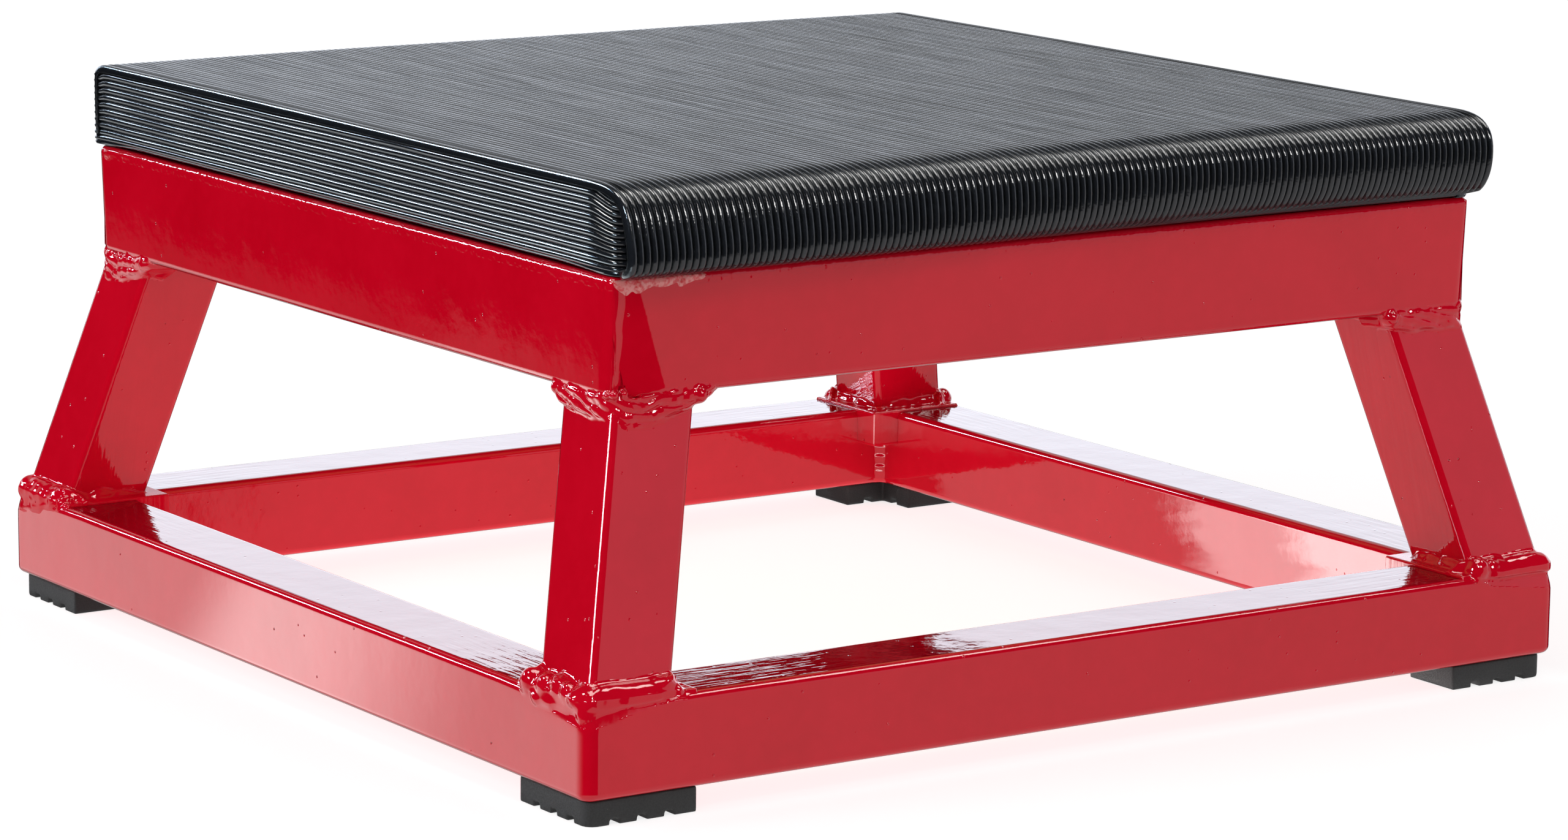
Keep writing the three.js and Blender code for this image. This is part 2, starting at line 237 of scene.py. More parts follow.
def new_material(name):
    """An empty material with its shader, and the place on the object, for its patterns."""
    material = bpy.data.materials.new(name)
    material.use_nodes = True
    nodes = Nodes(material.node_tree)
    shader = nodes.add("ShaderNodeBsdfPrincipled")
    nodes.add("ShaderNodeOutputMaterial", {"Surface": shader.outputs[0]})
    place = nodes.add("ShaderNodeTexCoord").outputs["Object"]
    return material, nodes, shader, place


# ---------------------------------------------------------------- materials

def paint_relief(nodes, place, specks):
    """Orange peel, ripples drawn along the tubes, fine beads on the top ring's upper edge, and specks."""
    where = nodes.xyz(place)
    from_x = nodes.math("ABSOLUTE", where["X"])
    from_y = nodes.math("ABSOLUTE", where["Y"])
    along = nodes.math("MINIMUM", from_x, from_y)
    across = nodes.most(from_x, from_y)
    drawn = nodes.add("ShaderNodeCombineXYZ", {"X": nodes.times(along, 45.0), "Y": nodes.times(across, 420.0),
                                               "Z": where["Z"]})
    ripple = nodes.times(nodes.noise(drawn.outputs[0], 1.0, 2.0), nodes.step(along, 0.075, 0.125))
    upper_edge = nodes.band(where["Z"], top_high.z - 4.0 * MM, top_high.z - 0.5 * MM, 0.5 * MM)
    beads = nodes.times(nodes.math("SUBTRACT", nodes.noise(place, 420.0, 1.0), 0.5), upper_edge)
    normal = nodes.bump(nodes.noise(place, 70.0, 1.0, 0.3), 0.12 * MM)
    normal = nodes.bump(ripple, 0.11 * MM, normal=normal)
    normal = nodes.bump(nodes.noise(place, 330.0, 2.0, 0.4), 0.026 * MM, normal=normal)
    normal = nodes.bump(beads, 0.22 * MM, normal=normal)
    return nodes.bump(specks, 0.18 * MM, normal=normal)


def make_red_paint():
    """Glossy red powder coat: orange peel, dust nibs, small pits, slight colour drift, and painted shade at
    grazing angles.

    Points of a mesh can carry three shares: thin, where steel shows through; bead, where the paint
    keeps its colour as it turns away, without the painted grazing shade; and dull, where its gloss is lost.
    """
    material, nodes, shader, place = new_material("red_paint")
    drift = nodes.noise(place, 22.0, 2.0)
    mottle = nodes.noise(place, 160.0, 3.0)
    nibs, pits = nodes.specks(place, 230.0, 0.03, 0.14, (0.20, 0.07))
    red = nodes.mix(drift, (0.45, 0.0006, 0.0090, 1), (0.56, 0.0012, 0.0150, 1))
    red = nodes.mix(nodes.step(mottle, 0.35, 0.8, 0.0, 0.22), red, (0.60, 0.003, 0.019, 1))
    red = nodes.mix(nodes.times(pits, 0.6), red, (0.10, 0.001, 0.003, 1))
    patchy = nodes.step(nodes.noise(place, 700.0, 2.0), 0.35, 0.6, 0.25, 1.0)
    red = nodes.mix(nodes.times(nodes.attribute("thin"), patchy), red, (0.62, 0.20, 0.19, 1))
    # Painted shade: the base colour goes towards black at grazing angles of view, standing in for the diffuse
    # light the coat holds back there; weld beads are left out
    facing = nodes.add("ShaderNodeLayerWeight", {"Blend": 0.5}).outputs["Facing"]
    shade = nodes.times(nodes.step(facing, 0.58, 0.84, 0.0, 0.72), nodes.rest(nodes.attribute("bead")))
    normal = paint_relief(nodes, place, nodes.math("SUBTRACT", nibs, pits))
    nodes.fill(shader, {
        "Base Color": nodes.mix(shade, red, (0.0, 0.0, 0.0, 1)),
        "Roughness": nodes.step(mottle, 0.2, 0.8, 0.30, 0.42),
        "Specular IOR Level": 0.0,
        "Coat Weight": nodes.rest(nodes.attribute("dull")),
        "Coat Roughness": nodes.step(drift, 0.3, 0.7, 0.02, 0.055),
        "Coat IOR": 1.52,
        "Coat Normal": normal,
        "Normal": normal,
    })
    return material


def make_ribbed_rubber():
    """Semi-gloss black rubber: crests rubbed paler, grooves given painted shade and matte, thin dark streaks,
    and painted sheen on some faces.

    Points of a mesh carry rib, which is 0 in the grooves and 1 on the crests.
    """
    material, nodes, shader, place = new_material("ribbed_rubber")
    where = nodes.xyz(place)
    facing = nodes.xyz(nodes.add("ShaderNodeNewGeometry").outputs["Normal"])
    top = nodes.step(facing["Z"], 0.72, 0.95, 0.0, 0.9)
    left = nodes.step(facing["X"], -0.84, -0.72, 1.0, 0.0)
    rib = nodes.attribute("rib")
    # Tread has levelled the ribs' wear on top
    rib = nodes.plus(rib, nodes.times(top, 0.65, nodes.math("SUBTRACT", 0.75, rib)))
    stretch = nodes.add("ShaderNodeMapping", {"Vector": place, "Scale": (1.0, 0.04, 1.0)}).outputs[0]
    streak = nodes.noise(stretch, 330.0, 2.0, 0.6)
    from_middle = nodes.math("ABSOLUTE", where["X"])
    # Painted shade: a near-black line on the top, 3.4 to 5.2 mm in from each side edge, with its gloss taken
    # away, for the dark reflection along the rounded top edges
    dark_edge_line = nodes.band(from_middle, DECK_HALF_WIDTH - 5.2 * MM, DECK_HALF_WIDTH - 3.4 * MM, 0.4 * MM)
    dark_edge_line = nodes.times(dark_edge_line, top)

    # Painted shade: the grooves take a far darker colour than the crests, for the shade deep in them; the
    # crests are rubbed paler
    black = nodes.mix(nodes.step(rib, 0.2, 0.9), (0.0014, 0.0016, 0.0020, 1), (0.0080, 0.0094, 0.0125, 1))
    black = nodes.mix(nodes.step(streak, 0.5, 0.75, 0.0, 0.5), black, (0.012, 0.014, 0.018, 1))
    # Painted reflection: upward faces get a paler, bluer colour, for the blue-grey sheen of the bright room
    # they mirror
    black = nodes.mix(nodes.times(top, 0.8), black, (0.0100, 0.0132, 0.0168, 1))
    black = nodes.mix(dark_edge_line, black, (0.0008, 0.0009, 0.0010, 1))

    # Painted highlights: left-facing rubber gets more gloss, and much more on a line low on the side flaps
    # that comes and goes and on the top sheet's cut edge
    low_line = nodes.band(where["Z"], DECK_BOTTOM + 4.2 * MM, DECK_BOTTOM + 6.2 * MM, 0.4 * MM)
    low_line = nodes.times(low_line, nodes.step(nodes.noise(place, 9.0, 1.0), 0.36, 0.52))
    cut_edge = nodes.band(where["Z"], DECK_TOP - RUBBER_THICKNESS, DECK_TOP - 0.3 * MM, 0.15 * MM)
    highlight_bands = nodes.plus(low_line, cut_edge)
    gloss = nodes.plus(1.0, nodes.times(left, nodes.plus(0.45, nodes.times(highlight_bands, 2.8))))
    dull = nodes.times(nodes.step(streak, 0.38, 0.58, 0.96, 0.84), top)
    dull = nodes.most(dull, nodes.times(dark_edge_line, 1.1))
    level = nodes.times(nodes.step(rib, 0.2, 0.7, 0.12, 0.62), gloss, nodes.rest(dull))

    lines = nodes.bump(streak, 0.36 * MM, nodes.step(facing["Z"], 0.72, 0.95, 0.45, 1.0))
    nodes.fill(shader, {
        "Base Color": black,
        "Roughness": nodes.plus(nodes.step(rib, 0.0, 0.75, 0.50, 0.145), nodes.times(top, 0.11)),
        "Specular IOR Level": level,
        # Painted reflection tint: left-facing rubber reflects bluer than the rest
        "Specular Tint": nodes.mix(left, (0.97, 0.98, 1.0, 1), (0.72, 0.90, 1.0, 1)),
        "Normal": nodes.bump(nodes.noise(place, 900.0, 2.0), 0.022 * MM, normal=lines),
    })
    return material


def make_foot_rubber():
    """Matte moulded rubber with a fine grain and a few dust specks."""
    material, nodes, shader, place = new_material("foot_rubber")
    cloud = nodes.noise(place, 120.0, 3.0)
    grain = nodes.noise(place, 1900.0, 3.0, 0.6)
    dust, = nodes.specks(place, 420.0, 0.05, 0.12, (0.07,))
    grey = nodes.mix(cloud, (0.009, 0.0095, 0.010, 1), (0.018, 0.0185, 0.019, 1))
    nodes.fill(shader, {
        "Base Color": nodes.mix(nodes.times(dust, 0.5), grey, (0.35, 0.34, 0.32, 1)),
        "Roughness": nodes.step(grain, 0.3, 0.7, 0.58, 0.78),
        "Normal": nodes.bump(grain, 0.06 * MM),
    })
    return material


def make_zinc_steel():
    """Zinc-plated steel with a soft spangle and faint turning marks."""
    material, nodes, shader, place = new_material("zinc_steel")
    spangle = nodes.add("ShaderNodeTexVoronoi", {"Vector": place, "Scale": 900.0}).outputs["Distance"]
    nodes.fill(shader, {
        "Base Color": nodes.mix(spangle, (0.52, 0.53, 0.54, 1), (0.70, 0.71, 0.70, 1)),
        "Metallic": 1.0,
        "Roughness": nodes.step(nodes.noise(place, 700.0), 0.3, 0.7, 0.24, 0.42),
        "Normal": nodes.bump(nodes.noise(place, 2500.0), 0.01 * MM),
    })
    return material


def make_plywood():
    """Birch plywood: long grain on the faces and glued plies on the edges."""
    material, nodes, shader, place = new_material("plywood")
    stretch = nodes.add("ShaderNodeMapping", {"Vector": place, "Scale": (0.06, 1.0, 1.0)}).outputs[0]
    grain = nodes.noise(stretch, 260.0, 5.0, 0.65)
    figure = nodes.noise(stretch, 38.0, 3.0)
    face = nodes.mix(grain, (0.46, 0.27, 0.12, 1), (0.72, 0.50, 0.27, 1))
    face = nodes.mix(nodes.step(figure, 0.4, 0.75, 0.0, 0.35), face, (0.36, 0.19, 0.08, 1))
    ply = nodes.math("PINGPONG", nodes.math("DIVIDE", nodes.xyz(place)["Z"], 2.0 * MM), 1.0)
    edge = nodes.mix(nodes.step(ply, 0.3, 0.6), (0.30, 0.16, 0.07, 1), face)
    up = nodes.xyz(nodes.add("ShaderNodeNewGeometry").outputs["Normal"])["Z"]
    nodes.fill(shader, {
        "Base Color": nodes.mix(nodes.step(nodes.math("ABSOLUTE", up), 0.4, 0.6), edge, face),
        "Roughness": nodes.step(grain, 0.2, 0.8, 0.6, 0.8),
        "Normal": nodes.bump(grain, 0.12 * MM),
    })
    return material


def make_grey_foam():
    """Closed-cell grey foam."""
    material, nodes, shader, place = new_material("grey_foam")
    cells = nodes.add("ShaderNodeTexVoronoi", {"Vector": place, "Scale": 1100.0}).outputs["Distance"]
    tone = nodes.mix(cells, (0.075, 0.08, 0.085, 1), (0.12, 0.125, 0.13, 1))
    nodes.fill(shader, {
        "Base Color": nodes.mix(nodes.noise(place, 60.0), tone, (0.09, 0.092, 0.10, 1)),
        "Roughness": 0.95,
        "Normal": nodes.bump(cells, 0.2 * MM),
    })
    return material


RED = make_red_paint()
RUBBER = make_ribbed_rubber()
FOOT_RUBBER = make_foot_rubber()
ZINC = make_zinc_steel()
PLYWOOD = make_plywood()
FOAM = make_grey_foam()


def place_piece(obj, slot, *nodes_replaced):
    """Puts a new piece on the one body and hides the CAD nodes it stands for."""
    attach(obj, "root")
    if nodes_replaced:
        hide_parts(*nodes_replaced)
    return obj


def tube_mesh(name, shells, quarter_turns, finish=None, winding=1):
    """A tube with its bore, from the grids of points of its outer and its inner shell."""
    rows = turned(np.concatenate([shells[0], shells[1][::-1]]), quarter_turns)
    if finish:
        rows = finish(rows)
    faces = grid_faces(*rows.shape[:2], wrap_rows=True, wrap_columns=True)[:, ::winding]
    return mesh_object(name, rows.reshape(-1, 3), faces.tolist(), RED)


# ---------------------------------------------------------------- frame rails

# Radius of each corner's outer edge at the bottom and the top of the ring
BASE_CORNER_RADIUS = 5.2 * MM
BASE_CORNER_RADII = {corner: (BASE_CORNER_RADIUS, BASE_CORNER_RADIUS) for corner in CORNERS}
TOP_CORNER_RADII = {
    "front_left": (8.5 * MM, 3.2 * MM),
    "front_right": (7.0 * MM, 3.5 * MM),
    "back_right": (6.0 * MM, 4.5 * MM),
    "back_left": (7.5 * MM, 3.5 * MM),
}


def rail_stations(half):
    """Places along a rail as shares of its half length, close together near the mitres."""
    near_corner = np.arange(0, 24, 0.6) * MM
    middle = np.linspace(26 * MM, half, 14)
    positions = (half - np.concatenate([near_corner, middle])) / half
    return np.concatenate([-positions, positions[:-1][::-1]])


def round_corner(points, half, radii_low_high, z_low, z_high, end):
    """Bends a mitred front rail's end round the ring's outer corner. end is -1 or 1."""
    x, y, z = points[..., 0], points[..., 1], points[..., 2]
    share = np.clip((z - z_low) / (z_high - z_low), 0, 1)
    radius = radii_low_high[0] + (radii_low_high[1] - radii_low_high[0]) * share
    centre = half - radius
    across = end * x - centre
    outward = -y - centre
    inside = (across > 0) & (outward > 0)
    longest = np.maximum(across, outward)
    length = np.maximum(np.hypot(across, outward), 1e-9)
    scale = np.where(inside, longest / length, 1.0)
    points[..., 0] = np.where(inside, end * (centre + across * scale), x)
    points[..., 1] = np.where(inside, -(centre + outward * scale), y)
    return points


# The facet's far border, as distances from the corner at the ring's top and bottom
GROUND_FACET_TOP = 9 * MM
GROUND_FACET_BOTTOM = 21.5 * MM
GROUND_FACET_TILT = math.radians(7)
RIDGE_WIDTH = 3.6 * MM
RIDGE_HEIGHT = 0.60 * MM


def facet_plane():
    """A point and the outward normal of the facet ground beside the front left corner."""
    top = np.array([-TOP_HALF + GROUND_FACET_TOP, -TOP_HALF, top_high.z])
    bottom = np.array([-TOP_HALF + GROUND_FACET_BOTTOM, -TOP_HALF, top_low.z])
    turn = Matrix.Rotation(-GROUND_FACET_TILT, 3, Vector(top - bottom).normalized())
    return top, np.array(turn @ Vector((0, -1, 0)))


def facet_distance(points):
    """Distance in front of the ground facet."""
    top, normal = facet_plane()
    return (points - top) @ normal


def grind_front_left(points):
    """The top ring's front left corner: a facet ground on its front, and a low ridge of weld
    left standing along the corner."""
    normal = facet_plane()[1]
    near = (points[..., 0] < -TOP_HALF + 40 * MM) & (points[..., 1] < -TOP_HALF + 12 * MM)
    proud = np.where(near, np.maximum(facet_distance(points), 0), 0)
    from_corner = points[..., 0] + TOP_HALF
    height = points[..., 2]
    share = np.clip((height - top_low.z) / TOP_TUBE, 0, 1)
    wander = 0.8 * MM * np.sin(height / (1.9 * MM)) + 0.6 * MM * np.sin(height / (0.75 * MM) + 1.0)
    rise = smoothstep(0.2 * MM, 1.6 * MM, from_corner + wander)
    reach = RIDGE_WIDTH * (0.55 + 0.7 * share)
    ridge = rise * (1 - smoothstep(reach - 1.4 * MM, reach + 1.5 * MM, from_corner + 0.5 * wander))
    ridge *= smoothstep(top_low.z + 4 * MM, top_low.z + 8 * MM, height)
    ridge *= 1 - smoothstep(top_high.z - 6 * MM, top_high.z - 3 * MM, height)
    on_facet = near & (proud > 0.05 * MM)
    lift = np.where(on_facet, ridge * RIDGE_HEIGHT, 0)
    return points + (lift - proud)[..., None] * normal


def corner_frame(points, half, z_level, radius):
    """Depth behind the outer faces, distance from the corner (front positive, side negative),
    and height over a level, at the front left corner."""
    u, v = points[..., 0] + half, points[..., 1] + half
    depth = radius - np.hypot(np.maximum(radius - u, 0), np.maximum(radius - v, 0))
    depth = np.where((u < radius) | (v < radius), depth, np.minimum(u, v))
    return depth, u - v, points[..., 2] - z_level


def edge_melt(points):
    """How far the welder's heat let the base rail's outer top edge slump, near a corner."""
    depth, run, height = corner_frame(points, BASE_HALF, base_high.z, BASE_CORNER_RADIUS)
    stops = np.array([-40, -30, -5, 5, 17, 30, 42]) * MM
    drop = np.interp(run, stops, np.array([0, 5, 8.5, 8.5, 5.5, 3.0, 0]) * MM)
    slump = 0.21 * drop * smoothstep(-drop, 0.5 * MM, height)
    return slump * (1 - smoothstep(1.6 * MM, 4.5 * MM, depth))


def melt_corners(points):
    """Slumps the outer top edges of a base rail next to all four corners."""
    for corner in range(4):
        local = turned(points, -corner)
        inward = np.maximum(BASE_CORNER_RADIUS - (local[..., :2] + BASE_HALF), 0)
        length = np.hypot(inward[..., 0], inward[..., 1])
        near = (length > 0) & (local[..., :2].max(axis=-1) < -BASE_HALF + 45 * MM)
        push = np.where(near, edge_melt(local), 0) / np.maximum(length, 1e-9)
        local[..., :2] += inward * push[..., None]
        points = turned(local, corner)
    return points


def rail(side, ring, half, tube, z_low, radii, finish=None):
    """One mitred tube of a ring, as a closed shell with its bore."""
    stations = rail_stations(half)
    z_mid = z_low + tube / 2
    shells = []
    for inset in (0.0, TUBE_WALL):
        loop = square_loop(tube / 2 - inset, TUBE_RADIUS - inset, flat_steps=14)
        depth = tube / 2 - loop[:, 0]
        reach = half - depth
        points = np.empty((len(stations), len(loop), 3))
        points[..., 0] = stations[:, None] * reach
        points[..., 1] = -reach
        points[..., 2] = z_mid + loop[:, 1]
        if inset == 0:
            ends = (radii[CORNERS[side]], radii[CORNERS[(side + 1) % 4]])
            for end, radius in zip((-1, 1), ends):
                points = round_corner(points, half, radius, z_low, z_low + tube, end)
        shells.append(points)
    name = f"{ring}_rail_{SIDES[side]}"
    obj = tube_mesh(name, shells, side, finish)
    even_mitre_shading(obj, side, len(stations), points.shape[1])
    return place_piece(obj, "red_paint", name)


def even_mitre_shading(obj, side, stations, columns):
    """Lets the shading run on across a mitre: the normals on it lie in the mitre's plane."""
    mesh = obj.data
    normals = np.zeros(len(mesh.vertices) * 3)
    mesh.vertices.foreach_get("normal", normals)
    normals = normals.reshape(-1, columns, 3)
    for row, neighbour, end in ((0, 1, -1), (stations - 1, stations - 2, 1)):
        plane = turned(np.array([math.sqrt(0.5), end * math.sqrt(0.5), 0.0]), side)
        inside = normals[neighbour]
        flat = inside - (inside @ plane)[:, None] * plane
        normals[row] = flat / np.linalg.norm(flat, axis=1)[:, None]
    mesh.normals_split_custom_set_from_vertices(normals.reshape(-1, 3).tolist())


def build_rings():
    """The eight rails, with the base's corners melted and the top's front left corner ground."""
    for side in range(4):
        rail(side, "base", BASE_HALF, BASE_TUBE, base_low.z, BASE_CORNER_RADII, melt_corners)
        finish = grind_front_left if side in (0, 3) else None
        rail(side, "top", TOP_HALF, TOP_TUBE, top_low.z, TOP_CORNER_RADII, finish)


# ---------------------------------------------------------------- legs

def leg_line():
    """Foot and head of the front left leg's centre line."""
    foot = Vector((-BASE_HALF + LEG_FOOT_INSET, -BASE_HALF + LEG_FOOT_INSET, base_high.z))
    head = Vector((-TOP_HALF + LEG_HEAD_INSET, -TOP_HALF + LEG_HEAD_INSET, top_low.z))
    return foot, head


LEG_FOOT, LEG_HEAD = leg_line()
LEG_AXIS = (LEG_HEAD - LEG_FOOT).normalized()
LEG_TURN = Vector((0, 0, 1)).rotation_difference(LEG_AXIS).to_matrix()


def leg_level_loop(half, radius):
    """The front left leg's outline where a level plane cuts it, about its centre line."""
    loop = square_loop(half, radius)
    flat = np.column_stack([loop, np.zeros(len(loop))]) @ np.array(LEG_TURN).T
    axis = np.array(LEG_AXIS)
    return flat - (flat[:, 2] / axis[2])[:, None] * axis


def build_legs():
    """The four splayed tubes, each a closed shell with its bore."""
    levels = np.linspace(0, 1, 17)
    foot, head = np.array(LEG_FOOT), np.array(LEG_HEAD)
    for corner, name in enumerate(CORNERS):
        shells = []
        for inset in (0.0, TUBE_WALL):
            loop = leg_level_loop(LEG_TUBE / 2 - inset, TUBE_RADIUS - inset)
            centres = foot + (head - foot) * levels[:, None]
            shells.append(centres[:, None, :] + loop[None])
        leg = tube_mesh(f"leg_{name}", shells, corner, winding=-1)
        leg.data.set_sharp_from_angle(angle=math.radians(40))
        place_piece(leg, "red_paint", f"leg_{name}")


# ---------------------------------------------------------------- welds

WELD_VOXEL = 0.42 * MM     # step of the lattice a weld's surface is found on
WELD_BLEND = 1.2 * MM      # width over which a weld melts into the steel
WELD_SKIN = 0.03 * MM      # how far its melted edges lie under the steel's surface
WELD_ROOT = 0.45 * MM      # how deep it goes into the steel
WELD_MARGIN = 3 * MM       # room left round it in its box
CURTAIN_ROOT = 1.6 * MM    # how deep in the rail a foot weld's run down over it begins
BACK_LEFT_DULL = 0.6       # share of its gloss that the back left foot weld has lost

# For each corner's foot weld: how uneven its side, corner and front are, and in millimetres how
# far it runs down over the rail's edge on the side, at the corner and on the front
FOOT_WELDS = {
    "front_left": (0.24, 0.15, 0.05, 6.5, 8.0, 1.5),
    "front_right": (0.06, 0.10, 0.16, 1.5, 3.0, 3.0),
    "back_right": (0.20, 0.15, 0.20, 4.0, 4.0, 4.0),
    "back_left": (0.05, 0.08, 0.12, 3.0, 4.0, 5.0),
}


def soft_minimum(a, b, width):
    """The smaller of two distances, rounded where they are within `width` of each other."""
    share = np.clip(0.5 + 0.5 * (b - a) / width, 0, 1)
    return b + (a - b) * share - width * share * (1 - share)


def blobs_distance(points, blobs, width):
    """Distance to a soft union of ellipsoids, each (centre, radii, 3x3 axes)."""
    nearest = np.full(points.shape[:-1], 1.0, np.float32)
    for centre, radii, axes in blobs:
        local = (points - np.float32(centre)) @ np.float32(axes)
        radii = np.float32(radii)
        scaled = np.linalg.norm(local / radii, axis=-1)
        slope = np.maximum(np.linalg.norm(local / radii ** 2, axis=-1), 1e-6)
        nearest = soft_minimum(nearest, scaled * (scaled - 1) / slope, width)
    return nearest


def rounded_corner_distance(across, down, radius):
    """Distance to a quadrant whose corner is rounded, from distances past its two edges."""
    a, b = across + radius, down + radius
    return np.hypot(np.maximum(a, 0), np.maximum(b, 0)) + np.minimum(np.maximum(a, b), 0) - radius


def ring_distance(points, half, tube, z_low, radius, facet=None):
    """Distance to a ring's front left corner."""
    x, y, z = points[..., 0], points[..., 1], points[..., 2]
    outside = rounded_corner_distance(-x - half, -y - half, radius)
    if facet is not None:
        outside = np.maximum(outside, facet)
    hole = np.maximum(-x - half + tube, -y - half + tube)
    plan = np.maximum(outside, -hole)
    level = np.abs(z - z_low - tube / 2) - tube / 2
    return rounded_corner_distance(plan, level, TUBE_RADIUS)


def leg_distance(points):
    """Distance to the front left leg, endless along its length."""
    local = np.abs((points - np.float32(LEG_FOOT)) @ np.float32(LEG_TURN)) - LEG_TUBE / 2
    return rounded_corner_distance(local[..., 0], local[..., 1], TUBE_RADIUS)


def window(array, shifts):
    """An array without its last layer along some axes, or without its first where the shift is 1;
    shifts is {axis: shift}."""
    cuts = [slice(None)] * 3
    for axis, shift in shifts.items():
        cuts[axis] = slice(shift, array.shape[axis] - 1 + shift)
    return array[tuple(cuts)]


def surface_net(field, origin, step):
    """Vertices and quads of the surface where a sampled field is zero, facing its positive side."""
    inside = field < 0
    cells = tuple(n - 1 for n in field.shape)
    total = np.zeros(cells + (3,), np.float32)
    count = np.zeros(cells, np.float32)
    quads = []
    for axis in range(3):
        one, two = [other for other in range(3) if other != axis]
        start, end = window(field, {axis: 0}), window(field, {axis: 1})
        cross = window(inside, {axis: 0}) != window(inside, {axis: 1})
        share = np.where(cross, start / np.where(cross, start - end, 1), 0)
        for i, j in np.ndindex(2, 2):
            here = window(cross, {one: i, two: j})
            total[..., axis] += window(share, {one: i, two: j})
            total[..., one] += here * i
            total[..., two] += here * j
            count += here
        # Each lattice edge that crosses the surface gives a quad between the four cells round it
        places = np.argwhere(cross)
        within = (places > 0) & (places < np.array(field.shape) - 1)
        places = places[within[:, one] & within[:, two]]
        outward = inside[tuple(places.T)] ^ (axis == 1)
        ring = []
        for i, j in ((1, 1), (0, 1), (0, 0), (1, 0)):
            shift = np.zeros(3, int)
            shift[one], shift[two] = i, j
            ring.append(np.ravel_multi_index((places - shift).T, cells))
        ring = np.stack(ring, axis=1)
        quads.append(np.where(outward[:, None], ring, ring[:, ::-1]))
    quads = np.concatenate(quads)
    used = count.ravel() > 0
    number = np.cumsum(used) - 1
    corner = np.stack(np.meshgrid(*[np.arange(n) for n in cells], indexing="ij"), axis=-1)
    places = corner + total / np.maximum(count, 1)[..., None]
    vertices = places.reshape(-1, 3)[used] * step + np.asarray(origin)
    return vertices, number[quads]


def soft_maximum(a, b, width):
    """The larger of two distances, rounded where they are within `width` of each other."""
    return -soft_minimum(-a, -b, width)


def lattice_noise(points, scale, seed):
    """Smooth noise between -1 and 1 over an array of points."""
    values = np.random.default_rng(int(seed)).uniform(-1, 1, (32, 32, 32)).astype(np.float32)
    places = points / scale
    cell = np.floor(places).astype(np.int32)
    share = places - cell
    share = share * share * (3 - 2 * share)
    total = np.zeros(points.shape[:-1], np.float32)
    for corner in np.ndindex(2, 2, 2):
        at = (cell + np.array(corner, np.int32)) % 32
        weight = np.prod(np.where(np.array(corner, bool), share, 1 - share), axis=-1)
        total += weight * values[at[..., 0], at[..., 1], at[..., 2]]
    return total


def weld_piece(name, corner, low, high, weld_distance, steel_distance,
               thin_paint=0.0, node=None, dull=0.0):
    """A weld inside a box, laid on steel: its edges melt into the surfaces they lie on."""
    low, high = np.asarray(low) - WELD_MARGIN, np.asarray(high) + WELD_MARGIN
    axes = [np.arange(low[i], high[i], WELD_VOXEL, dtype=np.float32) for i in range(3)]
    points = np.stack(np.meshgrid(*axes, indexing="ij"), axis=-1)
    weld = weld_distance(points)
    steel = steel_distance(points)
    field = soft_minimum(weld, steel, WELD_BLEND) + WELD_SKIN
    field = np.maximum(field, -(steel + WELD_ROOT))
    walls = np.maximum(low + 2 * WELD_VOXEL - points, points - high + 3 * WELD_VOXEL).max(axis=-1)
    field = np.maximum(field, walls)
    vertices, quads = surface_net(field, low, WELD_VOXEL)
    obj = mesh_object(name, turned(vertices, corner), quads.tolist(), RED)
    for label, value in (("thin", thin_paint), ("bead", 1.0), ("dull", dull)):
        layer = obj.data.attributes.new(label, "FLOAT", "POINT")
        layer.data.foreach_set("value", np.full(len(vertices), value, np.float32))
    return place_piece(obj, "red_paint", node or name)


def turn_about(axis, angle):
    """A turn about an axis, as a 3x3 array."""
    return np.array(Matrix.Rotation(angle, 3, Vector(axis)))


def bead_along(start, end, spacing, radii, rng, shift):
    """Overlapping ellipsoids from start to end. radii: along, outward, up; shift is how far
    they stray, and they differ in size by the same measure."""
    start, end, radii = np.asarray(start, float), np.asarray(end, float), np.asarray(radii)
    length = np.linalg.norm(end - start)
    count = max(2, int(round(length / spacing)))
    along = (end - start) / length
    outward = np.cross(along, (0, 0, 1))
    frame_axes = np.column_stack([along, outward, np.cross(outward, along)])
    blobs = []
    for i in range(count + 1):
        centre = start + (end - start) * i / count + rng.normal(0, shift * 0.6, 3)
        size = radii * (1 + rng.uniform(-1, 1) * shift / (3 * MM))
        tip = turn_about((0, 1, 0), rng.normal(0, 0.12)) @ turn_about((0, 0, 1), rng.normal(0, 0.08))
        blobs.append((centre, size, frame_axes @ tip))
    return blobs


def ring_corner(half, level):
    """A finder of places at a ring's front left corner, from distances in from its two outer faces
    and millimetres over a level."""
    def at(u, v, z):
        return (-half + u, -half + v, level + z * MM)
    return at


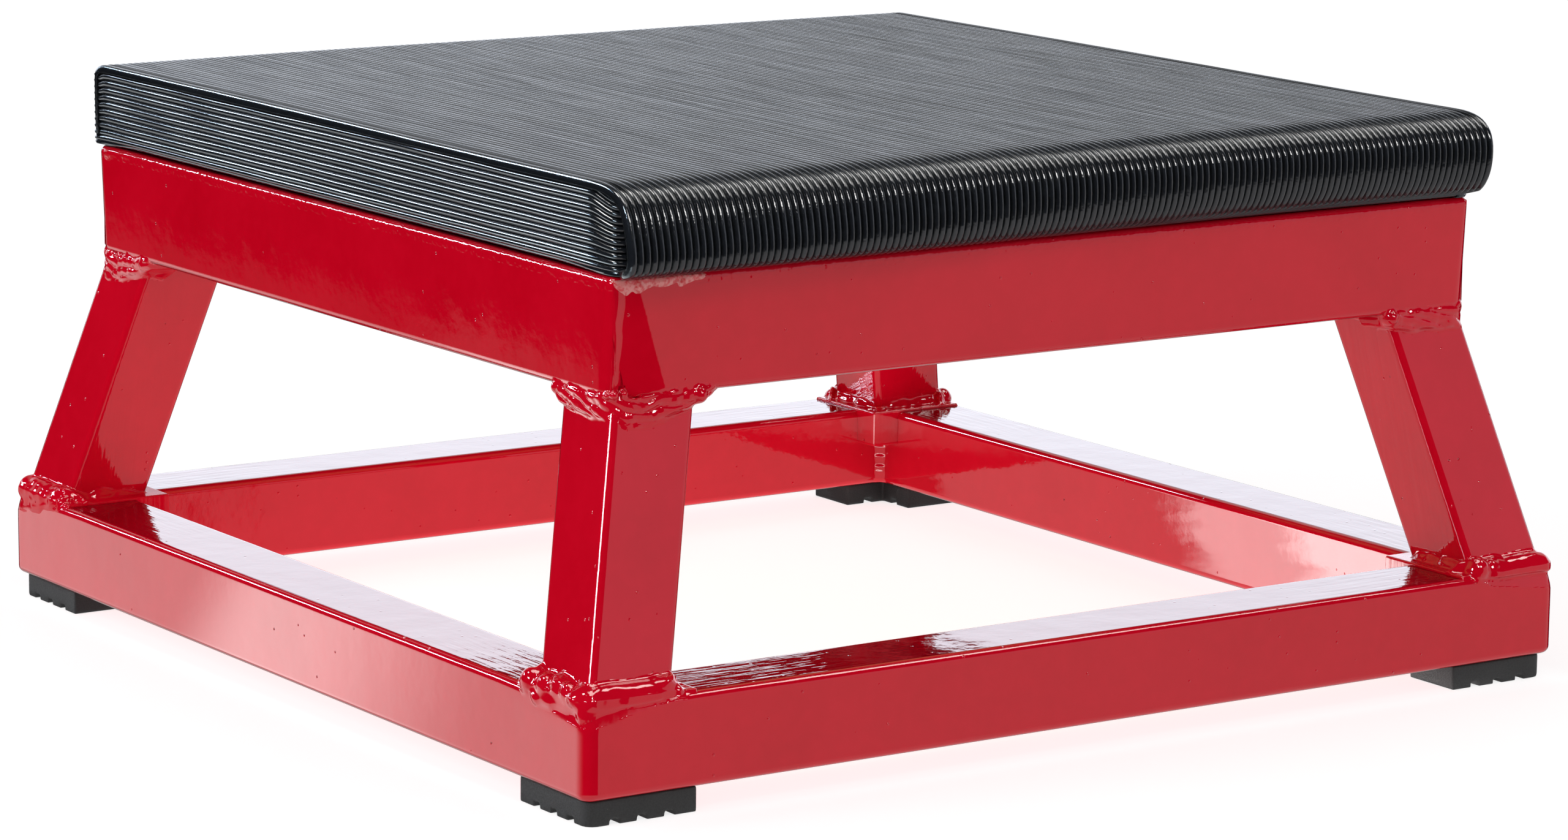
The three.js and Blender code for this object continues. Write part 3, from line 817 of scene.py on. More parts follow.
def foot_weld_distance(points, corner, rng):
    """Rounded bead round a leg's foot, running over the rail's outer edges near the corner."""
    rough_side, rough_corner, rough_front, sag_side, sag_corner, sag_front = FOOT_WELDS[CORNERS[corner]]
    depth, run, height = corner_frame(points, BASE_HALF, base_high.z, BASE_CORNER_RADIUS)
    inner = LEG_FOOT_INSET + LEG_TUBE / 2
    stops = np.array([-40, -8, 0, 8, 40]) * MM
    rough = np.interp(run, stops, [rough_side, rough_side, rough_corner, rough_front, rough_front])
    rough = rough + 0.10 * smoothstep(27 * MM, 32 * MM, np.abs(run))
    lumps = lattice_noise(points, 4.6 * MM, corner)
    folds = lattice_noise(points * np.float32((1, 1, 1.6)), 2.2 * MM, corner + 10)
    size = 1 + rough * (lumps + 0.18 * folds)
    out, up = 4.7 * MM * size, 5.6 * MM * size
    bead = (np.hypot((depth - 5.1 * MM) / out, height / up) - 1) * 4.6 * MM
    reach = inner - 3.2 * MM + lumps * 1.5 * MM
    bead = soft_maximum(bead, np.abs(run) - reach, 3 * MM)
    bead = soft_maximum(bead, -height - 2.0 * MM, 2 * MM)

    stops = np.array([-38, -30, -6, 2, 14, 29, 36]) * MM
    sags = np.array([0, sag_side, sag_side * 1.05, sag_corner, sag_front * 1.8, sag_front, 0]) * MM
    sag = np.maximum(np.interp(run, stops, sags) * (1 + 0.35 * lumps), 1e-6 * MM)
    fade = smoothstep(-sag, -0.35 * sag, height) * smoothstep(0, 1.5 * MM, sag)
    proud = np.interp(run, np.array([-30, -4, 4, 20]) * MM, np.array([0.9, 0.8, 0.45, 0.2]) * MM)
    proud = proud * (1 + 3 * rough * lumps)
    curtain = CURTAIN_ROOT - depth - (CURTAIN_ROOT + proud) * fade
    curtain = curtain + edge_melt(points)
    curtain = np.maximum(curtain, height - 1 * MM)
    weld = soft_minimum(bead, curtain, 2.0 * MM)

    at = ring_corner(BASE_HALF, base_high.z)
    near, far = (inner + 0.8 * MM, 5 * MM), (inner + 0.4 * MM, BASE_TUBE - 2 * MM)
    inside = np.array([4.6, 2.6, 3.4]) * MM
    blobs = bead_along(at(*near, 0.6), at(*far, 0.2), 4.0 * MM, inside, rng, 0.5 * MM)
    blobs += bead_along(at(*far[::-1], 0.2), at(*near[::-1], 0.6), 4.0 * MM, inside, rng, 0.5 * MM)
    # Big lumps where the welder stopped and started
    for k in range(4 if corner == 0 else 2):
        along = inner - 1 * MM - k * 7.5 * MM + rng.normal(0, 0.8 * MM)
        radius = (4.2 - 0.5 * k + rng.uniform(-0.4, 0.4)) * MM
        place = at(2.6 * MM + rng.uniform(0, 0.8) * MM, along, 1.6 + rng.uniform(-0.6, 0.8))
        size = (radius * 0.85, radius, radius * 1.05)
        blobs.append((place, size, turn_about((1, 0, 0), rng.normal(0, 0.4))))
    return soft_minimum(weld, blobs_distance(points, blobs, 0.9 * MM), 1.0 * MM)


def head_weld_distance(points, corner):
    """Thin layered fill between a top rail's lower edge and a leg's head."""
    radius = TOP_CORNER_RADII[CORNERS[corner]][0]
    depth, run, height = corner_frame(points, TOP_HALF, top_low.z, radius)
    inner = LEG_HEAD_INSET + LEG_TUBE / 2
    lumps = lattice_noise(points, 6.0 * MM, corner + 20)
    fine = lattice_noise(points, 2.4 * MM, corner + 30)
    stops = np.array([-40, -32, -8, -1, 6, 14, 30, 40, 46]) * MM
    lowest = np.array([0, -5.5, -8.0, -9.2, -11.0, -10.2, -5.6, -1.0, 1.0]) * MM
    highest = np.array([0.3, 1.0, 1.0, 2.2, 0.6, 0.4, 1.2, 1.6, 0.5]) * MM
    lower = np.interp(run, stops, lowest) + 1.1 * MM * lumps
    upper = np.interp(run, stops, highest) + 0.7 * MM * fine
    layer = (height - lower) / (3.9 * MM) + 0.6 * lumps + run / (23 * MM)
    fold = np.abs(np.sin(math.pi * layer)) ** 0.7
    thickness = 0.3 * MM + 0.7 * MM * fold + 0.3 * MM * fine
    thickness = thickness * smoothstep(0, 1.8 * MM, height - lower)
    surface = np.interp(height, [-12 * MM, -9 * MM, 0], [0.9 * MM, 0.7 * MM, 0.25 * MM]) - thickness
    fill = surface - depth
    fill = soft_maximum(fill, height - upper, 1.2 * MM)
    fill = soft_maximum(fill, lower - height, 1.0 * MM)
    fill = soft_maximum(fill, run - (inner + 4.5 * MM), 2 * MM)
    fill = soft_maximum(fill, -run - (inner - 0.5 * MM), 2 * MM)
    fill = np.maximum(fill, depth - 9 * MM)

    at = ring_corner(TOP_HALF, top_low.z)
    rng = np.random.default_rng(60 + corner)
    outer = LEG_HEAD_INSET - LEG_TUBE / 2
    inside = np.array([5.0, 2.8, 3.2]) * MM
    blobs = bead_along(at(inner, outer, -0.8), at(inner, inner, -0.8), 4.2 * MM, inside, rng, 0.4 * MM)
    blobs += bead_along(at(inner, inner, -0.8), at(outer, inner, -0.8), 4.2 * MM, inside, rng, 0.4 * MM)
    # Beads of spatter stand on the front left corner: place and radius of each, in millimetres
    spatter = ((1.0, 7, 0.2, 1.5), (0.9, 3.6, 1.2, 1.3), (2.0, 1.4, 1.6, 1.6), (5.5, 0.5, 1.8, 1.2))
    for u, v, z, radius in spatter if corner == 0 else ():
        blobs.append((at(u * MM, v * MM, z), (radius * MM,) * 3, np.eye(3)))
    return soft_minimum(fill, blobs_distance(points, blobs, 0.6 * MM), 0.8 * MM)


def mitre_weld_distance(points, half, tube, z_low, z_high, rng):
    """Upright bead inside a mitre."""
    inner = half - tube
    blobs = []
    height = z_low
    while height < z_high:
        centre = np.array([-inner + 0.2 * MM, -inner + 0.2 * MM, height]) + rng.normal(0, 0.12 * MM, 3)
        size = np.array([1.8, 4.2, 2.3]) * MM * rng.uniform(0.95, 1.06)
        blobs.append((centre, size, turn_about((0, 0, 1), math.pi / 4)))
        height += 2.1 * MM
    return blobs_distance(points, blobs, 0.5 * MM)


def flap_weld_distance(points, corner, rng):
    """Rough smear of weld on top of a mitre, along the front of the top ring."""
    blobs = []
    for k in range(16):
        share = k / 15
        inset = 1.2 if corner == 0 else 2.0
        place = (-TOP_HALF + (3.5 + 29 * share) * MM, -TOP_HALF + (inset + rng.uniform(-0.3, 0.5)) * MM,
                 top_high.z - (2.6 - 1.3 * share + rng.uniform(-0.9, 0.5)) * MM)
        size = np.array([3.4, 1.5, 2.3 * (1.25 - 0.9 * share)]) * MM * rng.uniform(0.75, 1.2)
        blobs.append((place, size, turn_about((0, 1, 0), rng.normal(-0.15, 0.3))))
    lumps = lattice_noise(points, 1.7 * MM, corner + 40)
    return blobs_distance(points, blobs, 0.5 * MM) + 0.22 * MM * lumps


def build_welds():
    """All welds, each laid at the front left corner and turned to its own."""
    def base_ring(points):
        return ring_distance(points, BASE_HALF, BASE_TUBE, base_low.z, BASE_CORNER_RADIUS)

    def foot_steel(points):
        leg = np.maximum(leg_distance(points), base_high.z - points[..., 2])
        return np.minimum(base_ring(points) + edge_melt(points), leg)

    at_foot, at_head = ring_corner(BASE_HALF, base_high.z), ring_corner(TOP_HALF, top_low.z)
    at_top = ring_corner(TOP_HALF, top_high.z)
    for corner, name in enumerate(CORNERS):
        rng = np.random.default_rng(40 + corner)

        def top_ring(points):
            facet = facet_distance(points) if corner == 0 else None
            return ring_distance(points, TOP_HALF, TOP_TUBE, top_low.z, TOP_CORNER_RADII[name][0], facet)

        def head_steel(points):
            leg = np.maximum(leg_distance(points), points[..., 2] - top_low.z)
            return np.minimum(top_ring(points), leg)

        weld_piece(f"leg_foot_weld_{name}", corner, at_foot(-1 * MM, -1 * MM, -11),
                   at_foot(42 * MM, 42 * MM, 7), lambda points: foot_weld_distance(points, corner, rng),
                   foot_steel, dull=BACK_LEFT_DULL if name == "back_left" else 0.0)
        weld_piece(f"leg_head_weld_{name}", corner, at_head(-1 * MM, -1 * MM, -13),
                   at_head(44 * MM, 44 * MM, 4), lambda points: head_weld_distance(points, corner),
                   head_steel)
        rings = (("base", BASE_HALF, BASE_TUBE, base_low.z, base_high.z, base_ring),
                 ("top", TOP_HALF, TOP_TUBE, top_low.z, top_high.z, top_ring))
        for ring, half, tube, z_low, z_high, steel in rings:
            inner = -half + tube
            low = (inner - 4 * MM, inner - 4 * MM, z_low + 1 * MM)
            high = (inner + 4 * MM, inner + 4 * MM, z_high - 4 * MM)
            ends = (z_low + 3 * MM, z_high - 6 * MM)
            weld_piece(f"{ring}_mitre_weld_{name}", corner, low, high,
                       lambda points: mitre_weld_distance(points, half, tube, *ends, rng), steel)
        weld_piece(f"flap_weld_{name}", corner, at_top(-1 * MM, -1 * MM, -7),
                   at_top(38 * MM, 4 * MM, -2.6), lambda points: flap_weld_distance(points, corner, rng),
                   top_ring, thin_paint=1.0 if corner == 0 else 0.0, node=f"top_mitre_weld_{name}")


# ---------------------------------------------------------------- rubber cover

SHOULDER = 172 * MM        # where the top sheet's rolls begin, from the deck's middle
LIP_END = 152 * MM         # how near the middle its ends come underneath
LIP_TRIM = 14 * MM         # how much narrower those ends are cut, on each side

# Side view of the front roll as distances from the deck's middle and heights above its underside,
# at the left end, where the roll sags, and at the right end, where it is tight
ROLL_LEFT = [(172, 30.5), (186.5, 30.2), (190.3, 25.5), (192.6, 18.5),
             (194.8, 11.5), (197.2, 3.2), (191.5, 1.1), (188.6, 0.0), (186, 0), (183, 0)]
ROLL_RIGHT = [(172, 30.6), (186.0, 30.6), (191.6, 26.4), (191.6, 17.0),
              (191.6, 9.5), (188.6, 3.2), (182.4, 0.9), (180, 0.0), (179, 0), (178, 0)]
# The back roll lies tight on the board's edge
ROLL_BACK = [(172, 30.6), (178.0, 30.6), (181.9, 29.6), (181.9, 24.0),
             (181.9, 14.0), (181.9, 3.0), (179.5, 0.3), (176, 0.0), (174, 0), (172, 0)]

FLAP_FACE = DECK_HALF_WIDTH - 0.2 * MM
FLAP_STRAIGHT = 163 * MM   # where a flap begins to curve inward at the front
TUCK_REACH = 19.5 * MM     # how much further it goes, tucked behind the front roll
FOLD_MIDDLE = 180.6 * MM   # where it folds over the back roll
FOLD_RADIUS = 4.5 * MM
FLAP_RIB_START = 0.35      # share of a rib's pitch by which its ribs start below its upper edge


def rib_phase_columns(width):
    """Distances across a ribbed sheet from -width/2 to width/2, and the rib height share there."""
    ribs = int(round(width / RIB_PITCH))
    pitch = width / ribs
    phases = (np.arange(ribs)[:, None] + RIB_PHASES[None]).ravel()
    phases = np.append(phases, ribs)
    crest = np.abs(np.sin(np.pi * phases)) ** 0.85
    return phases * pitch - width / 2, crest


def roll_curve(left, right, share):
    """A roll between its two end shapes; share 0 at the left end and 1 at the right."""
    left, right = np.array(left, float), np.array(right, float)
    points = (left + (right - left) * share) * MM
    curve = [bezier(points[0:4], 12), bezier(points[3:7], 12), bezier(points[6:10], 4)]
    return np.concatenate(curve + [points[9:10]])


def deck_path(x):
    """The deck's side view at x, from the front lip round the top to the back lip: (y, z)."""
    share = smoothstep(-DECK_HALF_WIDTH, DECK_HALF_WIDTH * 0.6, x)
    front = roll_curve(ROLL_LEFT, ROLL_RIGHT, float(share))
    back = roll_curve(ROLL_BACK, ROLL_BACK, 0.0)
    front_lip, back_lip = (np.column_stack([np.linspace(LIP_END, roll[-1, 0] - 4 * MM, 4), np.zeros(4)])
                           for roll in (front, back))
    middle = np.linspace(SHOULDER - 4 * MM, -SHOULDER + 4 * MM, 30)
    top = np.column_stack([middle, np.full(len(middle), DECK_TOP - DECK_BOTTOM)])
    forward = np.concatenate([front_lip, front[::-1], top])
    path = np.concatenate([forward, back * [-1, 1], (back_lip * [-1, 1])[::-1]])
    return np.column_stack([-path[:, 0], path[:, 1] + DECK_BOTTOM])


def path_normals(path):
    """Outward unit normals of a path in its own plane; the path runs with the outside on its left."""
    tangent = np.gradient(path, axis=0)
    tangent /= np.linalg.norm(tangent, axis=1)[:, None]
    return np.column_stack([-tangent[:, 1], tangent[:, 0]])


def closed_sheet(name, outer, inner, kept_rows, crest):
    """A closed sheet from its outer and inner grids; inner keeps only some of the outer's rows."""
    rows, columns = outer.shape[:2]
    inner = inner[kept_rows]
    base = rows * columns
    top = grid_faces(rows, columns).tolist()
    under = (grid_faces(len(kept_rows), columns)[:, ::-1] + base).tolist()
    last_row, last_inner = (rows - 1) * columns, base + (len(kept_rows) - 1) * columns
    ends = []
    for c in range(columns - 1):
        ends.append([c + 1, c, base + c, base + c + 1])
        ends.append([last_row + c, last_row + c + 1, last_inner + c + 1, last_inner + c])
    for k in range(len(kept_rows) - 1):
        between = range(kept_rows[k], kept_rows[k + 1] + 1)
        for column, flip in ((0, False), (columns - 1, True)):
            edge = [r * columns + column for r in between]
            face = edge + [base + (k + 1) * columns + column, base + k * columns + column]
            ends.append(face if flip else face[::-1])
    grid = np.concatenate([outer.reshape(-1, 3), inner.reshape(-1, 3)])
    obj = mesh_object(name, grid, top + under + ends, RUBBER)
    rib = obj.data.attributes.new("rib", "FLOAT", "POINT")
    values = np.concatenate([crest.reshape(-1), np.full(inner.shape[0] * columns, 0.3)])
    rib.data.foreach_set("value", values.astype(np.float32))
    obj.data.set_sharp_from_angle(angle=math.radians(75))
    return obj


def top_sheet():
    """The sheet over the deck's top, rolled over its front and back edges."""
    across, rib = rib_phase_columns(2 * DECK_HALF_WIDTH)
    paths = [deck_path(x) for x in across]
    reach = np.abs(across) - (DECK_HALF_WIDTH - SHEET_EDGE_RADIUS)
    curl = SHEET_EDGE_RADIUS - np.sqrt(np.maximum(SHEET_EDGE_RADIUS ** 2 - reach ** 2, 0))
    curl = np.where(reach > 0, curl, 0)
    rib = np.where(reach > -0.3 * MM, 1.0, rib)
    rows = len(paths[0])
    outer = np.zeros((rows, len(across), 3))
    inner = np.zeros_like(outer)
    middle_path = paths[len(paths) // 2]
    pressed = 0.45 + 0.55 * smoothstep(SHOULDER + 4 * MM, SHOULDER + 16 * MM, np.abs(middle_path[:, 0]))
    pressed[:8] = 0.4
    pressed[-8:] = 0.4
    for column, (x, path) in enumerate(zip(across, paths)):
        normals = path_normals(path)
        depth = (1 - rib[column]) * RIB_HEIGHT * pressed + curl[column]
        lip = path[:, 1] < DECK_BOTTOM + 2 * MM
        lip = lip * smoothstep(-188 * MM, -178 * MM, -np.abs(path[:, 0]))
        narrowed = x * (1 - lip * LIP_TRIM / DECK_HALF_WIDTH)
        outer[:, column, 0] = narrowed
        outer[:, column, 1:] = path - normals * depth[:, None]
        inner[:, column, 0] = narrowed
        inner[:, column, 1:] = path - normals * RUBBER_THICKNESS
    level = outer[..., 2] > DECK_TOP - 6 * MM
    uneven = 0.12 * MM * np.sin(outer[..., 0] / (31 * MM) + 1.3) * np.sin(outer[..., 1] / (47 * MM) + 0.4)
    outer[..., 2] += np.where(level, uneven - 0.12 * MM, 0)
    kept_rows = sorted(set(range(0, rows, 2)) | {rows - 1})
    return closed_sheet("rubber_cover_top", outer, inner, kept_rows, np.broadcast_to(rib, (rows, len(rib))))


def flap_plan():
    """The right flap's outline from above, from its fold at the back to its tuck at the front."""
    angles = np.linspace(math.radians(90), 0, 9)
    fold = np.column_stack([FLAP_FACE - FOLD_RADIUS + FOLD_RADIUS * np.cos(angles),
                            FOLD_MIDDLE + FOLD_RADIUS * np.sin(angles)])
    back_run = np.column_stack([fold[0, 0] - np.linspace(13, 1.5, 6) * MM, np.full(6, fold[0, 1])])
    along = np.linspace(FOLD_MIDDLE - 2 * MM, -FLAP_STRAIGHT + 2 * MM, 84)
    line = np.column_stack([np.full(len(along), FLAP_FACE), along])
    # The tuck is a long gentle curve and then a tight one behind the front roll
    gentle_radius, tight_radius, turn = 72 * MM, 6 * MM, math.radians(12.5)
    angles = np.linspace(0, turn, 12)
    gentle = np.column_stack([FLAP_FACE - gentle_radius * (1 - np.cos(angles)),
                              -FLAP_STRAIGHT - gentle_radius * np.sin(angles)])
    angles = np.linspace(turn, math.radians(105), 14)[1:]
    tight = gentle[-1] + tight_radius * np.column_stack([np.cos(angles) - math.cos(turn),
                                                         math.sin(turn) - np.sin(angles)])
    return np.concatenate([back_run, fold, line, gentle, tight])


def flap_section(drop):
    """A flap's cross-section (distance in from its face, height over the deck's underside) from
    its upper edge round to its lip underneath, and the rib height share at each point."""
    profile = np.concatenate([
        bezier([(2.6 * MM, drop - 0.9 * MM), (0.8 * MM, drop - 1.2 * MM),
                (0, drop - 2 * MM), (0, drop - 4 * MM)], 4),
        bezier([(0, drop - 4 * MM), (0, drop - 10 * MM), (0, 14 * MM), (0, 6 * MM)], 24),
        bezier([(0, 6 * MM), (0, 2 * MM), (1.5 * MM, 0.2 * MM), (6 * MM, 0.1 * MM)], 6),
        [(6 * MM, 0.1 * MM), (14 * MM, 0.1 * MM), (30 * MM, 0.1 * MM)],
    ])
    lengths = np.concatenate([[0], np.cumsum(np.linalg.norm(np.diff(profile, axis=0), axis=1))])
    ribs = int(lengths[-1] / RIB_PITCH)
    phases = (np.arange(ribs)[:, None] + SIDE_RIB_PHASES[None]).ravel() + FLAP_RIB_START
    places = phases * RIB_PITCH
    places = np.append(places[places < lengths[-1]], lengths[-1])
    section = np.column_stack([np.interp(places, lengths, profile[:, i]) for i in (0, 1)])
    crest = np.abs(np.sin(np.pi * (places / RIB_PITCH - FLAP_RIB_START))) ** 0.6
    return section, crest


def side_sheet(name, side):
    """The flap down one side of the deck: tucked in behind the front roll, folded over the back one."""
    drop = DECK_TOP - DECK_BOTTOM
    plan = flap_plan()
    section, crest = flap_section(drop)
    inset, height = section[:, 0], section[:, 1]
    normals = path_normals(plan)
    section_normals = -path_normals(section)
    tucked = smoothstep(FLAP_STRAIGHT - 20 * MM, FLAP_STRAIGHT + TUCK_REACH, -plan[:, 1])
    folded = smoothstep(FOLD_MIDDLE - 30 * MM, FOLD_MIDDLE, plan[:, 1])
    end_share = np.maximum(tucked, folded)
    sink = 1 - 0.15 * smoothstep(FLAP_STRAIGHT + 4 * MM, FLAP_STRAIGHT + TUCK_REACH, -plan[:, 1])
    sink = sink - 0.10 * smoothstep(FOLD_MIDDLE - 8 * MM, FOLD_MIDDLE + FOLD_RADIUS, plan[:, 1])

    # The long face isn't quite flat
    y, z = np.meshgrid(plan[:, 1], height, indexing="ij")
    sway = 0.30 * MM * np.sin(y / (29 * MM) + z / (9 * MM)) + 0.25 * MM * np.sin(y / (61 * MM) + 2.0)
    sway = sway + 0.12 * MM * np.sin(y / (8.5 * MM) + z / (4.1 * MM) * side)
    keep = smoothstep(0, 5 * MM, height) * (1 - smoothstep(drop - 5 * MM, drop - 1 * MM, height))
    sway = sway * keep[None] * (1 - end_share[:, None])

    def surface(depth):
        """The flap's surface at a depth under its crests."""
        groove = -section_normals * depth[:, None]
        inward = inset[None] * (1 - 0.88 * end_share[:, None]) + groove[:, 0][None] + sway
        points = np.empty((len(plan), len(section), 3))
        points[..., 0] = side * (plan[:, None, 0] - normals[:, None, 0] * inward)
        points[..., 1] = plan[:, None, 1] - normals[:, None, 1] * inward
        points[..., 2] = DECK_BOTTOM + (height + groove[:, 1])[None] * sink[:, None]
        return points

    shallow = np.where(inset > 8 * MM, 0.4, 1.0)
    outer = surface((1 - crest) * RIB_HEIGHT * shallow)
    inner = surface(np.full(len(section), RUBBER_THICKNESS))
    if side < 0:
        outer, inner = outer[::-1], inner[::-1]
    return closed_sheet(name, outer, inner, list(range(len(plan))), np.broadcast_to(crest, outer.shape[:2]))


def build_cover():
    """The cover's three sheets, all standing for the one CAD node."""
    sheets = top_sheet(), side_sheet("rubber_cover_right", 1), side_sheet("rubber_cover_left", -1)
    for sheet in sheets:
        place_piece(sheet, "ribbed_rubber", "rubber_cover")


# ---------------------------------------------------------------- feet

def build_feet():
    """Moulded feet: the CAD solid's copy with all its edges softened as rubber's are."""
    for name in CORNERS:
        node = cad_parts[f"foot_{name}"]
        rough = bpy.data.objects.new("foot_rough", node.data.copy())
        bpy.context.scene.collection.objects.link(rough)
        skin = rough.modifiers.new("skin", "REMESH")
        skin.mode = "VOXEL"
        skin.voxel_size = 0.42 * MM
        soften = rough.modifiers.new("soften", "SMOOTH")
        soften.iterations = 14
        soften.factor = 0.5
        softened = rough.evaluated_get(bpy.context.evaluated_depsgraph_get())
        mesh = bpy.data.meshes.new_from_object(softened)
        bpy.data.objects.remove(rough)
        mesh.polygons.foreach_set("use_smooth", [True] * len(mesh.polygons))
        mesh.materials.clear()
        mesh.materials.append(FOOT_RUBBER)
        foot = bpy.data.objects.new(f"rubber_foot_{name}", mesh)
        bpy.context.scene.collection.objects.link(foot)
        place_piece(foot, "foot_rubber", f"foot_{name}")


# ---------------------------------------------------------------- carried-over nodes

def dress_cad_nodes():
    """Materials for the CAD nodes that stay: tabs, screws, board and underlay."""
    looks = {"corner_tab": RED, "deck_screw": ZINC, "foot_screw": ZINC, "deck_board": PLYWOOD,
             "deck_underlay": FOAM}
    for name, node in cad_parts.items():
        for start, material in looks.items():
            if name.startswith(start):
                node.data.materials.clear()
                node.data.materials.append(material)


# ---------------------------------------------------------------- studio

FLOOR_HALF = 15.0
LIGHTS_AIM = (0, 0, 0.1)


def floor_glow(nodes, position, heading):
    """How bright reflections show the floor, by its place and by which way the ray is heading."""
    azimuth = nodes.math("ARCTAN2", heading["X"], heading["Y"])
    fall = heading["Z"]
    where = nodes.xyz(position)
    x = where["X"]
    # Level distance square to the camera's view, as the frame's side faces mirror that view
    across = nodes.plus(nodes.times(x, 0.829), nodes.times(where["Y"], 0.559))

    front = nodes.band(azimuth, math.radians(95), math.radians(151.5), math.radians(3))
    steep = nodes.step(fall, -0.42, -0.30, 0.80, 0.0)

    # Bright floor on the left of the base, with a brighter streak
    near_left = nodes.times(nodes.step(x, -0.52, -0.30), nodes.step(x, -0.215, -0.205, 1.0, 0.0))
    far_left = nodes.times(nodes.step(x, -0.64, -0.585), 0.05)
    streak = nodes.times(nodes.step(across, -0.25, -0.168), nodes.step(across, -0.152, -0.118, 1.0, 0.0))
    left = nodes.times(nodes.most(near_left, far_left), nodes.plus(1.75, nodes.times(streak, 2.3)),
                       nodes.step(azimuth, math.radians(-105), math.radians(-42)))

    # Bright floor under the deck: a wide patch, a pool and a hot middle, with ragged borders
    ragged = nodes.times(nodes.math("SUBTRACT", nodes.noise(position, 28.0), 0.5), 0.03)
    ragged = nodes.plus(across, ragged)
    wide = nodes.step(ragged, 0.222, 0.212, 0.0, 0.80)
    pool = nodes.times(nodes.step(ragged, 0.125, 0.108), 4.4)
    hot = nodes.times(nodes.step(ragged, 0.084, 0.066), 5.5)
    shallow = nodes.step(fall, -0.34, -0.27)
    under = nodes.times(nodes.plus(wide, nodes.times(shallow, nodes.plus(pool, hot))),
                        nodes.step(ragged, -0.02, 0.04), nodes.step(x, -0.17, -0.12),
                        nodes.step(x, 0.175, 0.18, 1.0, 0.0))
    towards_left = nodes.step(heading["X"], -0.1, -0.3)
    return nodes.most(nodes.times(front, 0.72), steep, nodes.times(nodes.most(left, under), towards_left))


def make_floor():
    """Plain pale floor: one look for the eye and matte surfaces, another for reflections."""
    material = bpy.data.materials.new("pale_floor")
    material.use_nodes = True
    material.cycles.emission_sampling = "NONE"
    nodes = Nodes(material.node_tree)
    ray = nodes.add("ShaderNodeLightPath").outputs
    place = nodes.add("ShaderNodeNewGeometry").outputs
    heading = nodes.add("ShaderNodeVectorMath", {0: place["Incoming"], "Scale": -1.0}, operation="SCALE")
    glow = floor_glow(nodes, place["Position"], nodes.xyz(heading.outputs[0]))
    reflected = nodes.add("ShaderNodeEmission", {"Color": (1.0, 0.97, 0.96, 1), "Strength": glow})

    # The shadow under the platform is lifted, as bounced light does in a white room
    where = nodes.xyz(place["Position"])
    beneath = nodes.times(nodes.band(where["X"], -0.19, 0.19, 0.03),
                          nodes.band(where["Y"], -0.19, 0.19, 0.03))
    for_eye = nodes.times(ray["Is Camera Ray"], nodes.plus(nodes.times(beneath, 0.16), 0.64))
    for_matte = nodes.times(ray["Is Diffuse Ray"], nodes.plus(0.35, nodes.times(beneath, 1.1)))
    lift = nodes.add("ShaderNodeEmission", {"Color": (1, 1, 1, 1),
                                            "Strength": nodes.plus(for_eye, for_matte)})
    pale = nodes.add("ShaderNodeBsdfDiffuse", {"Color": (0.50, 0.50, 0.505, 1)})
    seen = nodes.add("ShaderNodeAddShader", {0: pale.outputs[0], 1: lift.outputs[0]})
    surface = nodes.add("ShaderNodeMixShader", {0: ray["Is Glossy Ray"], 1: seen.outputs[0],
                                                2: reflected.outputs[0]})
    nodes.add("ShaderNodeOutputMaterial", {"Surface": surface.outputs[0]})
    h = FLOOR_HALF
    mesh_object("floor", [(-h, -h, 0), (h, -h, 0), (h, h, 0), (-h, h, 0)], [(0, 1, 2, 3)], material)


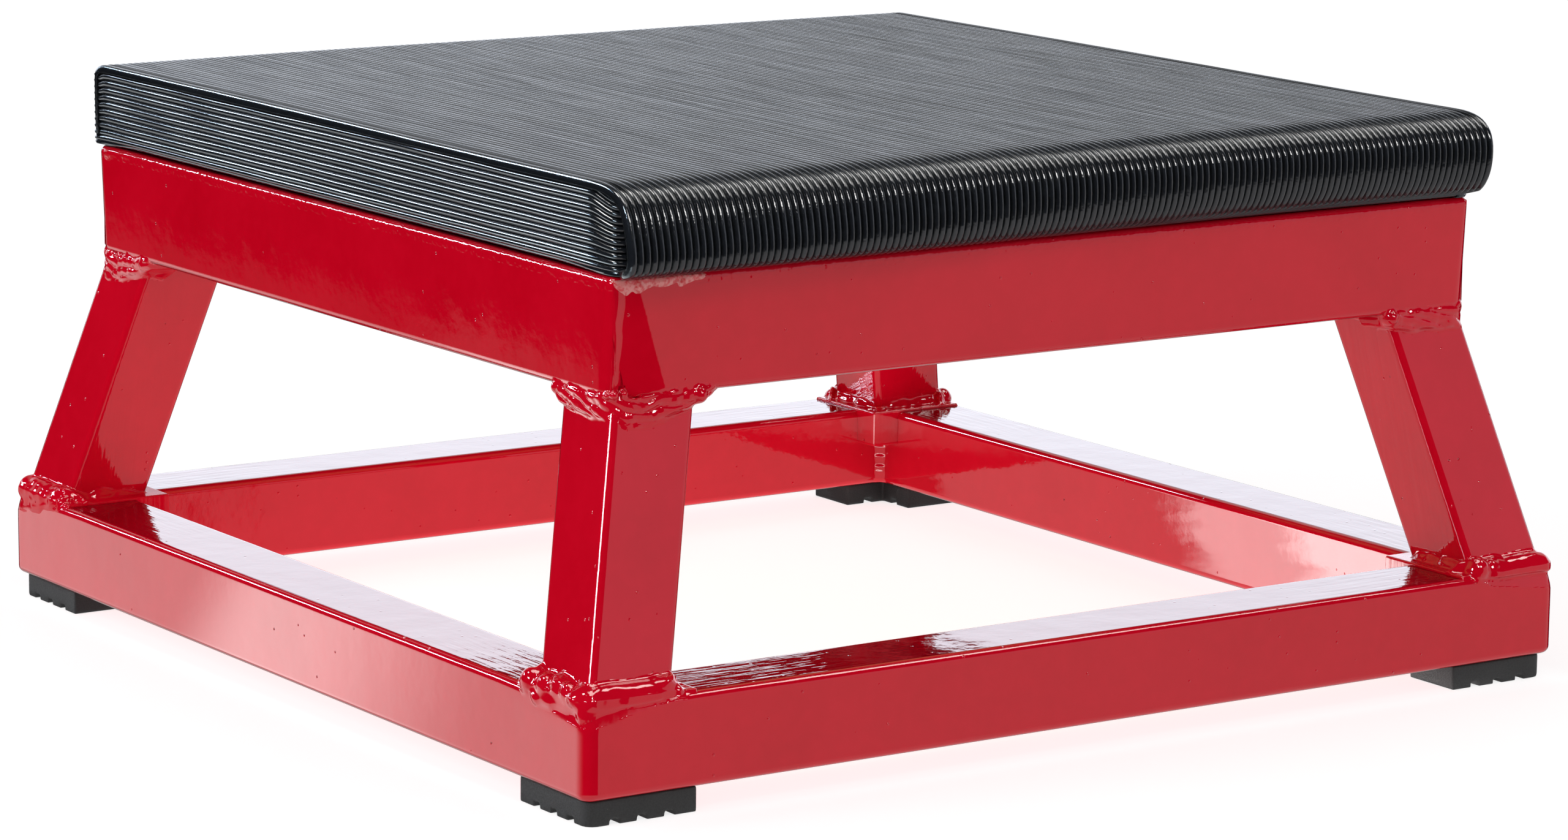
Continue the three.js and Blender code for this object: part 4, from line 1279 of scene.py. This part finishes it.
def make_world():
    """White studio: even light for the eye and for matte surfaces, shaped panels for reflections."""
    world = bpy.data.worlds.new("studio")
    bpy.context.scene.world = world
    world.use_nodes = True
    world.cycles.sampling_method = "NONE"
    nodes = Nodes(world.node_tree)
    ray = nodes.add("ShaderNodeLightPath").outputs
    heading = nodes.xyz(nodes.add("ShaderNodeTexCoord").outputs["Generated"])
    azimuth = nodes.math("ARCTAN2", heading["X"], heading["Y"])
    rise = heading["Z"]

    def panel(from_degrees, to_degrees, soft_degrees, low, high, soft, strength):
        sector = nodes.band(azimuth, math.radians(from_degrees), math.radians(to_degrees),
                            math.radians(soft_degrees))
        return nodes.times(sector, nodes.band(rise, low, high, soft), strength)

    shine = nodes.most(
        panel(-8, 85, 14, -0.2, 0.26, 0.07, 2.35),     # bright backdrop behind the platform
        panel(4, 85, 10, 0.25, 0.62, 0.10, 1.0),       # paler wall above it
        panel(-36, -22, 4, 0.34, 0.38, 0.02, 50.0),    # high window at the back left
        panel(95, 151.5, 3, -0.2, 0.26, 0.06, 0.72),   # grey wall at the front right
        nodes.step(rise, 0.93, 0.95, 0.0, 9.0),        # lamp overhead
        panel(-170, -158, 3, 0.52, 0.64, 0.03, 34.0),  # small lamps that only curved surfaces catch
        panel(165, 175, 3, 0.47, 0.57, 0.03, 34.0),
        panel(-101, -84, 3, 0.34, 0.46, 0.03, 34.0),
        panel(-60, -44, 4, 0.74, 0.84, 0.02, 34.0),
        panel(98, 120, 4, 0.76, 0.84, 0.02, 11.0),
    )
    even = nodes.step(rise, 0.1, 0.7, 1.08, 0.66)
    glossy = ray["Is Glossy Ray"]
    strength = nodes.add("ShaderNodeMix", {0: glossy, 2: even, 3: nodes.plus(shine, 0.006)},
                         data_type="FLOAT")
    # Reflections cool with height up to the high window, and are warm above it
    tint = nodes.mix(nodes.step(rise, 0.24, 0.36), (0.94, 0.985, 1.09, 1), (0.84, 0.94, 1.10, 1))
    tint = nodes.mix(nodes.step(rise, 0.385, 0.42), tint, (1.0, 0.98, 0.94, 1))
    background = nodes.add("ShaderNodeBackground", {
        "Color": nodes.mix(glossy, (1.0, 1.0, 1.0, 1), tint),
        "Strength": nodes.most(strength.outputs[0], ray["Is Camera Ray"]),
    })
    nodes.add("ShaderNodeOutputWorld", {"Surface": background.outputs[0]})


def soft_light(name, place, size, power, colour):
    """A rectangular lamp aimed at the platform."""
    data = bpy.data.lights.new(name, "AREA")
    data.shape = "RECTANGLE"
    data.size, data.size_y = size
    data.energy = power
    data.color = colour
    light = bpy.data.objects.new(name, data)
    light.location = place
    light.rotation_euler = (Vector(LIGHTS_AIM) - Vector(place)).to_track_quat("-Z", "Y").to_euler()
    bpy.context.scene.collection.objects.link(light)
    return light


CAMERA_PLACE = Vector((-1.1019, -1.6470, 0.4561))
CAMERA_YAW = 0.5931
CAMERA_PITCH = 0.1871
CAMERA_ROLL = 0.0107
CAMERA_LENS = 125.55


def make_camera():
    """The camera, from its place, its yaw from +Y, its pitch down, its roll and its lens."""
    data = bpy.data.cameras.new("camera")
    data.sensor_width = 36
    data.lens = CAMERA_LENS
    camera = bpy.data.objects.new("camera", data)
    forward = math.cos(CAMERA_PITCH)
    ahead = Vector((math.sin(CAMERA_YAW) * forward, math.cos(CAMERA_YAW) * forward, -math.sin(CAMERA_PITCH)))
    level = ahead.cross(Vector((0, 0, 1))).normalized()
    upright = level.cross(ahead)
    right = math.cos(CAMERA_ROLL) * level + math.sin(CAMERA_ROLL) * upright
    up = -math.sin(CAMERA_ROLL) * level + math.cos(CAMERA_ROLL) * upright
    turn = Matrix((right, up, -ahead)).transposed().to_4x4()
    camera.matrix_world = Matrix.Translation(CAMERA_PLACE) @ turn
    bpy.context.scene.collection.objects.link(camera)
    bpy.context.scene.camera = camera


def build_studio():
    """Floor, reflection panels, two lamps and the camera; none of them is part of the object."""
    make_floor()
    make_world()
    key = soft_light("key", (-2.2, 0.2, 1.5), (1.2, 1.2), 16, (1.0, 0.98, 0.96))
    key.visible_glossy = False
    soft_light("sparkle", (-0.5, -1.6, 1.7), (0.35, 0.5), 5, (1.0, 0.93, 0.88))
    make_camera()
    bpy.context.scene.view_settings.view_transform = "Standard"


build_rings()
build_legs()
build_welds()
build_cover()
build_feet()
dress_cad_nodes()
build_studio()
